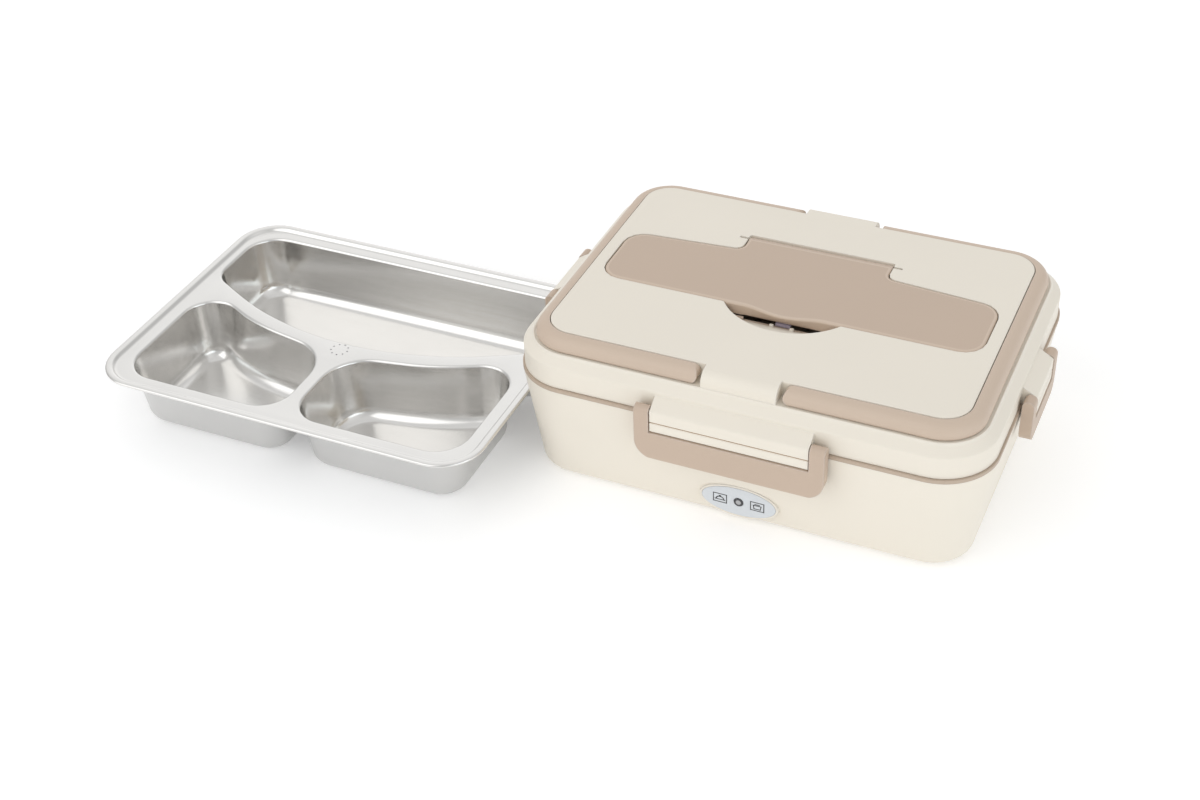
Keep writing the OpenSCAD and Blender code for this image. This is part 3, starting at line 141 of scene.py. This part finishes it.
def worn_and_highlit_edges(nodes, links, source, color):
    """A colour that is lighter on outer edges: partly wear from handling, partly a painted highlight along
    them.
    """
    wide = nodes.new("ShaderNodeBevel")
    wide.samples = EDGE_WEAR_HIGHLIGHT_SAMPLES
    wide.inputs["Radius"].default_value = EDGE_WEAR_HIGHLIGHT_RADIUS
    true = nodes.new("ShaderNodeNewGeometry")
    compare = nodes.new("ShaderNodeVectorMath")
    compare.operation = "DOT_PRODUCT"
    links.new(wide.outputs["Normal"], compare.inputs[0])
    links.new(true.outputs["Normal"], compare.inputs[1])
    mask = ramp(nodes, links, compare.outputs["Value"], EDGE_WEAR_HIGHLIGHT_SHARE, 0.0, EDGE_WEAR_HIGHLIGHT_BENT, EDGE_WEAR_HIGHLIGHT_FLAT)
    mix = nodes.new("ShaderNodeMix")
    mix.data_type = "RGBA"
    mix.inputs["B"].default_value = tuple(c + (1 - c) * EDGE_WEAR_HIGHLIGHT_LIGHTER for c in color[:3]) + (1,)
    links.new(source, mix.inputs["A"])
    links.new(mask, mix.inputs["Factor"])
    return mix.outputs["Result"]


def surface(nodes, links, shader, source, strength, depth, edge):
    """Relief from a height on the shader's normal, over edges softened by a radius."""
    bump = nodes.new("ShaderNodeBump")
    bump.inputs["Strength"].default_value = strength
    bump.inputs["Distance"].default_value = depth
    links.new(source, bump.inputs["Height"])
    if edge:
        soft = nodes.new("ShaderNodeBevel")
        soft.samples = EDGE_SAMPLES
        soft.inputs["Radius"].default_value = edge
        links.new(soft.outputs["Normal"], bump.inputs["Normal"])
    links.new(bump.outputs["Normal"], shader.inputs["Normal"])


def plastic(name, color, roughness=0.42, grain=2600, edge=0.0005, drift=0.02, coat=0.0, edge_wear_and_highlight=False):
    """Moulded plastic with a fine grain, a faint drift of colour and soft edges."""
    material, nodes, links, shader = new_material(name)
    cloudy = noise(nodes, links, PLASTIC_CLOUD, 3)
    base = tint(nodes, links, cloudy.outputs["Fac"], color, drift)
    # Lighter outer edges: wear from handling and a painted highlight
    if edge_wear_and_highlight:
        base = worn_and_highlit_edges(nodes, links, base, color)
    links.new(base, shader.inputs["Base Color"])
    fine = noise(nodes, links, grain, 3)
    smooth, rough = roughness - PLASTIC_SPREAD, roughness + PLASTIC_SPREAD
    links.new(ramp(nodes, links, fine.outputs["Fac"], smooth, rough), shader.inputs["Roughness"])
    surface(nodes, links, shader, fine.outputs["Fac"], GRAIN_STRENGTH, GRAIN_DEPTH, edge)
    shader.inputs["Specular IOR Level"].default_value = PLASTIC_SPECULAR
    if coat:
        shader.inputs["Coat Weight"].default_value = coat
        shader.inputs["Coat Roughness"].default_value = COAT_ROUGHNESS
    return material


def steel(name, color, roughness, streak, streak_depth=0.00001, edge=0.0003, spread=0.06):
    """Brushed metal, whose streaks change its roughness."""
    material, nodes, links, shader = new_material(name)
    shader.inputs["Metallic"].default_value = 1.0
    cloudy = noise(nodes, links, STEEL_CLOUD, 2)
    links.new(tint(nodes, links, cloudy.outputs["Fac"], color, STEEL_DRIFT), shader.inputs["Base Color"])
    lines = noise(nodes, links, 1.0, 2, streak)
    smooth, rough = roughness - spread, roughness + spread
    links.new(ramp(nodes, links, lines.outputs["Fac"], smooth, rough), shader.inputs["Roughness"])
    surface(nodes, links, shader, lines.outputs["Fac"], STREAK_STRENGTH, streak_depth, edge)
    return material


CREAM = plastic("cream_plastic", srgb(235, 228, 215), 0.45, edge=0.0006, edge_wear_and_highlight=True)
BEIGE = plastic("beige_plastic", srgb(197, 177, 159), 0.45, edge=0.0006, edge_wear_and_highlight=True)
# Lighter beige for the cutlery cover's top fillet: a painted highlight
BEIGE_FILLET_HIGHLIGHT = plastic("beige_fillet_highlight", srgb(208, 189, 171), 0.42, edge=0)
HANDLE = plastic("handle_plastic", srgb(205, 186, 168), 0.42, edge=0.0006, edge_wear_and_highlight=True)
# Brown for the gap over each catch strip: painted shade
GAP_SHADE_BROWN = plastic("gap_shade_brown", srgb(160, 126, 92), 0.5, edge=0)
# A darker copy of the beige plastic for the inner liner, whose flange shows in the seam: painted seam shade
LINER = plastic("liner_seam_shade", srgb(190, 172, 154), 0.45)
PLATE = steel("plate_aluminium", (0.72, 0.73, 0.75, 1), 0.32, (60, 900, 60))
ZINC = steel("zinc_sheet", (0.60, 0.60, 0.61, 1), 0.35, (400, 400, 400))
PIN = steel("pin_steel", (0.56, 0.56, 0.57, 1), 0.25, (900, 900, 900), edge=0.0001)
TRAY_LOOK = {"streak": (25, 300, 300), "streak_depth": 0, "edge": 0, "spread": 0.03}
TRAY = steel("tray_steel", (0.770, 0.760, 0.742, 1), 0.2, **TRAY_LOOK)
TRAY_UNDER = steel("tray_outside", (0.64, 0.635, 0.625, 1), 0.32, **TRAY_LOOK)
# Dark steel for the punched dimples: painted shade of their hollows
DOT = steel("tray_dimple_shade", (0.30, 0.30, 0.30, 1), 0.5, (900, 900, 900), edge=0)
BLACK = plastic("black_plastic", (0.02, 0.02, 0.022, 1), 0.4, drift=0.1)
BOARD = plastic("board_laminate", (0.02, 0.12, 0.05, 1), 0.35, edge=0.0001, drift=0.1)
LAMP = plastic("lamp_lens", (0.85, 0.55, 0.2, 1), 0.2, edge=0, coat=0.5)
OVAL = plastic("panel_grey", srgb(214, 218, 222), 0.35, edge=0.0003)
BUTTON = plastic("button_dark", srgb(74, 74, 76), 0.4, edge=0)
BUTTON_CAP = plastic("button_centre", srgb(176, 176, 178), 0.35, edge=0)
LEAD = plastic("lead_sleeve", (0.45, 0.04, 0.03, 1), 0.5, edge=0)
SILICONE = plastic("silicone_white", srgb(238, 235, 226), 0.6, grain=1500)
LATCH = plastic("latch_lilac", srgb(160, 150, 165), 0.4, edge=0.0003)

LOOKS = {
    "cream_shell": CREAM, "beige_plastic": BEIGE, "plate_aluminium": PLATE, "zinc_steel": ZINC,
    "pin_steel": PIN, "tray_steel": TRAY, "black_plastic": BLACK, "board_green": BOARD, "lamp_lens": LAMP,
    "panel_grey": OVAL, "button_dark": BUTTON, "lead_red": LEAD, "silicone_white": SILICONE,
    "latch_lilac": LATCH,
}
for entry in frame["record"]["subparts"]:
    look = LOOKS[entry["material_slot"]]
    # The liner takes the darker beige: painted shade of the seam between lid and base
    if entry["node"] == "inner_liner":
        look = LINER
    if entry["node"] in ("left_handle", "right_handle"):
        look = HANDLE
    for used in NODES[entry["node"]].material_slots:
        used.material = look


# Shapes
MM = 0.001
SHARP = math.radians(40)
MERGE = 1e-5
SMALLEST_R = 0.3


def piece(name, mesh, body, slot, look, smooth=True):
    """A finished mesh as a visible piece that rides on a body."""
    made = bpy.data.objects.new(name, mesh)
    bpy.context.scene.collection.objects.link(made)
    mesh.materials.append(look)
    for face in mesh.polygons:
        face.use_smooth = smooth
    mesh.set_sharp_from_angle(angle=SHARP)
    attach(made, body)
    return made


def turned(v, angle):
    """A flat vector turned anticlockwise."""
    c, s = math.cos(angle), math.sin(angle)
    return Vector((v.x * c - v.y * s, v.x * s + v.y * c))


def rounded(points, radii, inset=0.0, steps=8):
    """An anticlockwise outline, moved inwards by inset, with its corners rounded."""
    outline = []
    count = len(points)
    for i in range(count):
        before, at, after = (Vector(points[(i + k) % count]) for k in (-1, 0, 1))
        u, v = (at - before).normalized(), (after - at).normalized()
        bend = math.atan2(u.x * v.y - u.y * v.x, u.dot(v))
        way = 1 if bend > 0 else -1
        left_u, left_v = Vector((-u.y, u.x)), Vector((-v.y, v.x))
        corner = at + inset * (left_u + left_v) / (1 + u.dot(v))
        radius = max(radii[i] - way * inset, SMALLEST_R)
        start = corner - u * radius * abs(math.tan(bend / 2))
        middle = start + left_u * radius * way
        outline += [middle + turned(start - middle, bend * k / steps) for k in range(steps + 1)]
    return outline


def circle(r, count):
    """Points of a circle, as pairs of cosine and sine times its radius."""
    angles = [2 * math.pi * t / count for t in range(count)]
    return [(r * math.cos(a), r * math.sin(a)) for a in angles]


def round_rect(half_x, half_y, r, inset=0.0, steps=14):
    """A rectangle round the middle with round corners, moved inwards by inset."""
    corners = [(-half_x, -half_y), (half_x, -half_y), (half_x, half_y), (-half_x, half_y)]
    return rounded(corners, [r] * 4, inset, steps)


def skin(bm, rings):
    """Faces between rings of vertices, each as long as the next."""
    for one, other in zip(rings, rings[1:]):
        n = len(one)
        for i in range(n):
            j = (i + 1) % n
            bm.faces.new((one[i], one[j], other[j], other[i]))


def ring(bm, outline, z):
    """Vertices of an outline at one height."""
    return [bm.verts.new((p.x, p.y, z)) for p in outline]


def fill(bm, loops):
    """Flat faces between closed loops of vertices."""
    pairs = [pair for loop in loops for pair in zip(loop, loop[1:] + loop[:1])]
    edges = [bm.edges.get(pair) or bm.edges.new(pair) for pair in pairs]
    bmesh.ops.triangle_fill(bm, edges=edges, use_beauty=True)


def finished(bm, name, middle=MID):
    """A mesh in metres from one drawn in millimetres round a middle."""
    bmesh.ops.remove_doubles(bm, verts=bm.verts, dist=MERGE)
    bmesh.ops.recalc_face_normals(bm, faces=bm.faces)
    for v in bm.verts:
        v.co = Vector((middle.x + v.co.x * MM, middle.y + v.co.y * MM, v.co.z * MM))
    mesh = bpy.data.meshes.new(name)
    bm.to_mesh(mesh)
    bm.free()
    return mesh


# Food tray
tray_low, tray_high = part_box("food_tray")
TRAY_MID = (tray_low + tray_high) / 2
TRAY_L = (tray_high.x - tray_low.x) / 2 / MM
TRAY_W = (tray_high.y - tray_low.y) / 2 / MM
TRAY_R = 23
SHEET = 0.8
DECK_Z = 35
DECK_IN = 6.6
BEND_R = 160
BACK_HALF, FRONT_HALF = TRAY_L - 7.3, TRAY_L - 10.7
BACK_Y, FRONT_Y = TRAY_W - 10.2, TRAY_W - 10.7
BEND_Y = 9.2  # from the tray's middle forward to the bend's crest
WEB_HALF, WEB_W = 2.5, 7
LIP_R, FOOT_R, FOOT_IN = 1.7, 8, 13
LIP_STEPS, FOOT_STEPS, CORNER_STEPS = 6, 9, 9


def bow(x):
    """The bent front edge of the back compartment."""
    return x * x / (2 * BEND_R) - BEND_Y


back_cup = [(-s * BACK_HALF, bow(s * BACK_HALF)) for s in (1, 0.6, 0.2)]
back_cup += [(s * BACK_HALF, bow(s * BACK_HALF)) for s in (0.2, 0.6, 1)]
back_cup += [(BACK_HALF, BACK_Y), (-BACK_HALF, BACK_Y)]
back_radii = [16, BEND_R, BEND_R, BEND_R, BEND_R, 16, 20, 20]
front_cup = [(WEB_HALF, -FRONT_Y), (FRONT_HALF, -FRONT_Y)]
front_cup += [(x, bow(x) - WEB_W) for x in (FRONT_HALF, 0.55 * FRONT_HALF, WEB_HALF)]
front_radii = [18, 19, 17.5, 120, 26]


def cup_rings(points, radii, grow, mirrored):
    """Outlines with heights of a compartment, from the bend at its opening down to its floor."""
    levels = []
    lip = LIP_R - grow
    for k in range(LIP_STEPS + 1):
        a = math.pi / 2 * (1 - k / LIP_STEPS)
        levels.append((lip * math.cos(a), DECK_Z - LIP_R + lip * math.sin(a)))
    foot = FOOT_R + grow
    for k in range(FOOT_STEPS, -1, -1):
        a = math.pi / 2 * k / FOOT_STEPS
        levels.append((FOOT_IN - foot * math.sin(a), SHEET - grow + foot - foot * math.cos(a)))
    made = []
    for inset, z in levels:
        outline = rounded(points, radii, inset, CORNER_STEPS)
        if mirrored:
            outline = [Vector((-p.x, p.y)) for p in reversed(outline)]
        made.append((outline, z))
    return made


# The rolled rim's section, as distances in from the tray's edge and heights
RIM_TOP = [
    (0.0, 35.8), (0.0, 36.2), (0.18, 36.6), (0.55, 36.87), (1.1, 36.98), (2.0, 37.0), (3.0, 36.93),
    (3.6, 36.75), (4.0, 36.4), (4.35, 35.95), (4.75, 35.5), (5.2, 35.2), (5.8, 35.04), (6.2, 35.0),
    (DECK_IN, DECK_Z)
]
RIM_UNDER = [
    (0.0, 35.8), (0.2, 35.5), (0.5, 35.5), (0.8, 35.7), (1.0, 36.0), (2.6, 36.1), (3.3, 35.7), (3.9, 34.9),
    (4.8, 34.35), (6.0, 34.2), (DECK_IN, DECK_Z - SHEET)
]


def tray_sheet(bm, rim, grow):
    """One face of the pressed sheet: rim, deck and the three compartments."""
    def outline(d):
        return round_rect(TRAY_L, TRAY_W, TRAY_R, d)

    rings = [ring(bm, outline(d), z) for d, z in rim]
    skin(bm, rings)
    loops = [rings[-1]]
    for points, radii, mirrored in ((back_cup, back_radii, False), (front_cup, front_radii, False),
                                    (front_cup, front_radii, True)):
        levels = [ring(bm, places, z) for places, z in cup_rings(points, radii, grow, mirrored)]
        skin(bm, levels)
        bm.faces.new(levels[-1])
        loops.append(levels[0])
    fill(bm, loops)


bm = bmesh.new()
tray_sheet(bm, RIM_UNDER, SHEET)
for face in bm.faces:
    face.material_index = 1
tray_sheet(bm, RIM_TOP, 0.0)
tray = piece("tray_pressing", finished(bm, "tray_sheet", TRAY_MID), "food_tray", "tray_steel", TRAY)
tray.data.materials.append(TRAY_UNDER)
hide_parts("food_tray")

# Ring of small punched dimples between the compartments, drawn as dark discs: painted shade of their hollows
DOT_COUNT, DOT_SIDES, DOT_R, DOTS_R, DOTS_Y, DOT_LIFT = 9, 8, 0.45, 4.6, -12.6, 0.03
bm = bmesh.new()
for x, y in circle(DOTS_R, DOT_COUNT):
    spot = [bm.verts.new((x + u, DOTS_Y + y + v, DECK_Z + DOT_LIFT)) for u, v in circle(DOT_R, DOT_SIDES)]
    bm.faces.new(spot)
piece("tray_dimple_shades", finished(bm, "tray_dimple_shades", TRAY_MID), "food_tray", "tray_steel", DOT, smooth=False)


# Cutlery cover
cover_low, cover_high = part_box("cutlery_cover")
COVER_TOP = cover_high.z / MM
COVER_HALF = (cover_high.x - cover_low.x) / 2 / MM
COVER_FRONT, LEAF_HALF, HINGE_Y, KNUCKLE_R = 20.0, 38.3, 38.5, 3.0
WING_TIP, WING_INNER, RIM_END_Y = 22.7, 27.5, 31.4
COVER_T, COVER_WALL, COVER_RIM, COVER_FILLET = 2.4, 1.8, 6.0, 1.1
NOSE_X, NOSE_HALF, NOSE_OUT = 0.5, 20.0, 3.7
NOSE_POWER, NOSE_TAPER_POWER, FRONT_STEPS, COVER_STEPS = 0.8, 1.3, 90, 10
SLOT_HALF, SCOOP_HALF, SCOOP_DEPTH, SCOOP_EXTRA, SCOOP_IN = 20.0, 31.0, 5.5, 0.42, 3
COVER_CORNERS = [
    (-COVER_HALF, -COVER_FRONT), (COVER_HALF, -COVER_FRONT), (COVER_HALF, WING_TIP), (LEAF_HALF, WING_INNER),
    (LEAF_HALF, HINGE_Y), (-LEAF_HALF, HINGE_Y), (-LEAF_HALF, WING_INNER), (-COVER_HALF, WING_TIP)
]
COVER_RADII = [11, 11, 11, 5, 0.5, 0.5, 5, 11]


def nose(x):
    """How far the finger grip stands forward of the cover's front edge."""
    if abs(x - NOSE_X) >= NOSE_HALF:
        return 0.0
    return NOSE_OUT * (0.5 + 0.5 * math.cos(math.pi * (x - NOSE_X) / NOSE_HALF)) ** NOSE_POWER


def cover_ring(bm, inset, drop):
    """The cover's outline at a depth below its top, with the leaf kept thin near the hinge."""
    outline = rounded(COVER_CORNERS, COVER_RADII, inset, COVER_STEPS)
    start, end = outline[COVER_STEPS], outline[COVER_STEPS + 1]
    front = [start.lerp(end, k / FRONT_STEPS) for k in range(1, FRONT_STEPS)]
    share = 1 - (drop / COVER_RIM) ** NOSE_TAPER_POWER
    front = [Vector((p.x, p.y - nose(p.x) * share)) for p in front]
    outline = outline[:COVER_STEPS + 1] + front + outline[COVER_STEPS + 1:]
    made = []
    for p in outline:
        depth = drop
        if p.y > RIM_END_Y - inset:
            depth = min(drop, COVER_T)
        elif drop > SCOOP_DEPTH and p.y < -COVER_FRONT + SCOOP_IN and SLOT_HALF < abs(p.x) < SCOOP_HALF:
            depth = drop + SCOOP_EXTRA
        made.append(bm.verts.new((p.x, p.y, COVER_TOP - depth)))
    return made


# The shell's section from its top over the fillet and down the wall, then up inside
SHELL_LAND, SHELL_EDGE, FILLET_STEPS = 0.6, 0.3, 6
bm = bmesh.new()
levels = [(COVER_FILLET + SHELL_LAND, 0.0)]
for k in range(FILLET_STEPS + 1):
    a = math.pi / 2 * k / FILLET_STEPS
    levels.append((COVER_FILLET * (1 - math.sin(a)), COVER_FILLET * (1 - math.cos(a))))
levels += [(0.0, drop) for drop in (2.0, COVER_T, 3.5, 4.7, COVER_RIM - SHELL_EDGE)]
levels += [(SHELL_EDGE, COVER_RIM), (COVER_WALL, COVER_RIM), (COVER_WALL, 4.5), (COVER_WALL, COVER_T)]
levels += [(COVER_WALL + SHELL_LAND, COVER_T)]
rings = [cover_ring(bm, inset, drop) for inset, drop in levels]
fillet_end = FILLET_STEPS + 2
skin(bm, rings[:fillet_end])
# The top fillet takes the second, lighter beige: a painted highlight
for face in bm.faces:
    face.material_index = 1
skin(bm, rings[fillet_end - 1:])
fill(bm, [rings[0]])
fill(bm, [rings[-1]])

# The knuckle, with a bore for a pin at each end
BORE_R, BORE_DEPTH, BORE_POINT, KNUCKLE_EDGE, KNUCKLE_SIDES = 1.25, 6, 0.01, 0.3, 36
half = [(LEAF_HALF - KNUCKLE_EDGE, KNUCKLE_R), (LEAF_HALF, KNUCKLE_R - KNUCKLE_EDGE), (LEAF_HALF, BORE_R),
        (LEAF_HALF - BORE_DEPTH, BORE_R), (LEAF_HALF - BORE_DEPTH, BORE_POINT)]
profile = [(-x, r) for x, r in reversed(half)] + half
HINGE_Z = COVER_TOP - KNUCKLE_R
turns = [[bm.verts.new((x, HINGE_Y + side, HINGE_Z + rise)) for rise, side in circle(r, KNUCKLE_SIDES)]
         for x, r in profile]
skin(bm, turns)
cover = piece("cutlery_cover_shell", finished(bm, "cover_shell"), "cutlery_cover", "beige_plastic", BEIGE)
cover.data.materials.append(BEIGE_FILLET_HIGHLIGHT)
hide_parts("cutlery_cover")


# Painted shade: a brown strip that fills the gap over each catch strip
STRIP_OUT, STRIP_TOP, PANEL_HALF_X, PANEL_HALF_Y = 21.5, 58.9, 105.0, 72.5
FRONT_LINE_HALF, SIDE_LINE_HALF = 39.5, 16.9
LINE_IN, LINE_W, LINE_T = 0.4, 1.2, 0.35
bm = bmesh.new()
for turn in range(4):
    half, out = ((FRONT_LINE_HALF, PANEL_HALF_Y), (SIDE_LINE_HALF, PANEL_HALF_X))[turn % 2]
    near = out + STRIP_OUT - LINE_IN
    far = near - LINE_W
    corners = [(-half, -near), (half, -near), (half, -far), (-half, -far)]
    corners = [turned(Vector(c), turn * math.pi / 2) for c in corners]
    bottom, top = (ring(bm, corners, z) for z in (STRIP_TOP, STRIP_TOP + LINE_T))
    skin(bm, [bottom, top])
    bm.faces.new(top)
    bm.faces.new(bottom)
piece("catch_strip_gap_shade", finished(bm, "strip_gap_shade"), "base", "beige_plastic", GAP_SHADE_BROWN, smooth=False)


# Marks on the front panel
panel_low, panel_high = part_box("control_panel")
PANEL_X = ((panel_low.x + panel_high.x) / 2 - MID.x) / MM
PANEL_Z = (panel_low.z + panel_high.z) / 2 / MM
MARK_LIFT, MARK_LINE = 0.04, 0.5
PANEL_Y = (panel_low.y - MID.y) / MM - MARK_LIFT
MARK_X, MARK_Z, MARK_HALF_X, MARK_HALF_Z = 9.6, -0.1, 3.4, 2.5


def stroke(bm, points, closed=False):
    """A thin flat line on the panel's face through points given across and up from its middle."""
    places = [Vector(p) for p in points]
    if closed:
        places.append(places[0])
    for a, b in zip(places, places[1:]):
        along = (b - a).normalized() * MARK_LINE / 2
        side = Vector((-along.y, along.x))
        corners = (a - along + side, a - along - side, b + along - side, b + along + side)
        bm.faces.new([bm.verts.new((PANEL_X + c.x, PANEL_Y, PANEL_Z + c.y)) for c in corners])


def curve(x, z, rx, rz, start, end, steps=10):
    """Points along an ellipse between two angles in degrees."""
    angles = [math.radians(start + (end - start) * k / steps) for k in range(steps + 1)]
    return [(x + rx * math.cos(a), z + rz * math.sin(a)) for a in angles]


def frame_mark(bm, x):
    """The square round a mark."""
    corners = [(-MARK_HALF_X, -MARK_HALF_Z), (MARK_HALF_X, -MARK_HALF_Z), (MARK_HALF_X, MARK_HALF_Z),
               (-MARK_HALF_X, MARK_HALF_Z)]
    stroke(bm, [(x + u, MARK_Z + v) for u, v in corners], closed=True)


bm = bmesh.new()
# Warm food: a domed dish over a plate
frame_mark(bm, -MARK_X)
stroke(bm, curve(-MARK_X, -1.0, 2.0, 1.7, 0, 180))
stroke(bm, [(-MARK_X - 2.5, -1.1), (-MARK_X + 2.5, -1.1)])
stroke(bm, curve(-MARK_X, 0.9, 0.35, 0.35, -30, 210, 6))
# Box: a bowl with its lid
frame_mark(bm, MARK_X)
stroke(bm, [(MARK_X + x, z) for x, z in ((-2.0, 0.5), (-1.6, -1.6), (1.6, -1.6), (2.0, 0.5))], closed=True)
stroke(bm, [(MARK_X - 1.2, 1.2), (MARK_X + 1.2, 1.2)])
piece("panel_marks", finished(bm, "panel_marks"), "base", "button_dark", BUTTON, smooth=False)

# Light centre of the button
button_low, button_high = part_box("power_button")
CAP_R, CAP_TOP_R, CAP_LIFT, CAP_RISE, CAP_SIDES = 1.35, 1.1, 0.03, 0.06, 40
CAP_Y = (button_low.y - MID.y) / MM - CAP_LIFT
bm = bmesh.new()
rings = [[bm.verts.new((PANEL_X + x, CAP_Y - rise, PANEL_Z + z)) for x, z in circle(r, CAP_SIDES)]
         for r, rise in ((CAP_R, 0.0), (CAP_TOP_R, CAP_RISE))]
skin(bm, rings)
bm.faces.new(rings[-1])
piece("button_cap", finished(bm, "button_cap"), "power_button", "button_dark", BUTTON_CAP)


# Floor, world and lamps
FLOOR_HALF, FLOOR_Z = 6.0, -0.0002


def staged(name, vertices, faces, material):
    """A mesh that stands round the object and is no part of it."""
    mesh = bpy.data.meshes.new(name)
    mesh.from_pydata(vertices, [], faces)
    piece = bpy.data.objects.new(name, mesh)
    bpy.context.scene.collection.objects.link(piece)
    mesh.materials.append(material)


material, nodes, links, shader = new_material("floor_white")
shader.inputs["Base Color"].default_value = (0.9, 0.9, 0.9, 1)
shader.inputs["Roughness"].default_value = 0.9
shader.inputs["Specular IOR Level"].default_value = 0.1
shader.inputs["Emission Color"].default_value = (1, 1, 1, 1)
shader.inputs["Emission Strength"].default_value = 0.25
corners = [(x * FLOOR_HALF, y * FLOOR_HALF, FLOOR_Z) for x, y in ((-1, -1), (1, -1), (1, 1), (-1, 1))]
staged("floor", corners, [(0, 1, 2, 3)], material)

world = bpy.data.worlds.new("studio")
bpy.context.scene.world = world
world.use_nodes = True
nodes, links = world.node_tree.nodes, world.node_tree.links
nodes.clear()
out = nodes.new("ShaderNodeOutputWorld")
light = nodes.new("ShaderNodeBackground")
light.inputs["Strength"].default_value = 1.0
coords = nodes.new("ShaderNodeTexCoord")
split = nodes.new("ShaderNodeSeparateXYZ")
links.new(coords.outputs["Generated"], split.inputs["Vector"])


def sums(operation, *values):
    """The output of one math node, whose inputs are numbers or other outputs."""
    node = nodes.new("ShaderNodeMath")
    node.operation = operation
    for socket, value in zip(node.inputs, values):
        if isinstance(value, (int, float)):
            socket.default_value = value
        else:
            links.new(value, socket)
    return node.outputs["Value"]


# The light grows a little from the horizon to the zenith
HORIZON_LIGHT, ZENITH_LIGHT, ZENITH_SINE = 0.73, 0.77, 0.9
fade = ramp(nodes, links, split.outputs["Z"], HORIZON_LIGHT, ZENITH_LIGHT, 0.0, ZENITH_SINE)

# A wide pale wall behind the object, which the steel mirrors
WALL_WAY, WALL_LIGHT, WALL_COSINE = (-0.35, 0.70, 0.62), 0.14, 0.55
rear = nodes.new("ShaderNodeVectorMath")
rear.operation = "DOT_PRODUCT"
links.new(coords.outputs["Generated"], rear.inputs[0])
rear.inputs[1].default_value = Vector(WALL_WAY).normalized()
wall = ramp(nodes, links, rear.outputs["Value"], 0.0, WALL_LIGHT, WALL_COSINE, 1.0)
wall.node.interpolation_type = "SMOOTHSTEP"

# Three bright and three dim panels stand round the studio, for streaks in the steel
PANEL_COUNT, PANEL_TURN, PANEL_CONTRAST = 3, 2.02, 0.42
around = sums("ARCTAN2", split.outputs["Y"], split.outputs["X"])
panels = sums("COSINE", sums("MULTIPLY", sums("SUBTRACT", around, PANEL_TURN), PANEL_COUNT))
panels = sums("MULTIPLY", panels, sums("SUBTRACT", 1, split.outputs["Z"]))
panels = sums("MULTIPLY_ADD", panels, PANEL_CONTRAST, 1)
links.new(sums("MULTIPLY", sums("ADD", fade, wall), panels), light.inputs["Color"])

# The camera itself sees white
white = nodes.new("ShaderNodeBackground")
white.inputs["Color"].default_value = (1, 1, 1, 1)
path = nodes.new("ShaderNodeLightPath")
pick = nodes.new("ShaderNodeMixShader")
links.new(path.outputs["Is Camera Ray"], pick.inputs["Fac"])
links.new(light.outputs["Background"], pick.inputs[1])
links.new(white.outputs["Background"], pick.inputs[2])
links.new(pick.outputs["Shader"], out.inputs["Surface"])


def softbox(name, place, size, power, color=(1, 1, 1)):
    """A rectangular lamp that points at the object."""
    data = bpy.data.lights.new(name, "AREA")
    data.shape = "RECTANGLE"
    data.size, data.size_y = size
    data.energy = power
    data.color = color
    lamp = bpy.data.objects.new(name, data)
    bpy.context.scene.collection.objects.link(lamp)
    lamp.location = place
    lamp.rotation_euler = (-Vector(place)).to_track_quat("-Z", "Y").to_euler()


softbox("key", (-0.96, -1.31, 1.48), (2.4, 2.0), 10)
softbox("fill", (1.9, -1.1, 0.7), (1.8, 1.2), 6, (0.85, 0.95, 1.0))
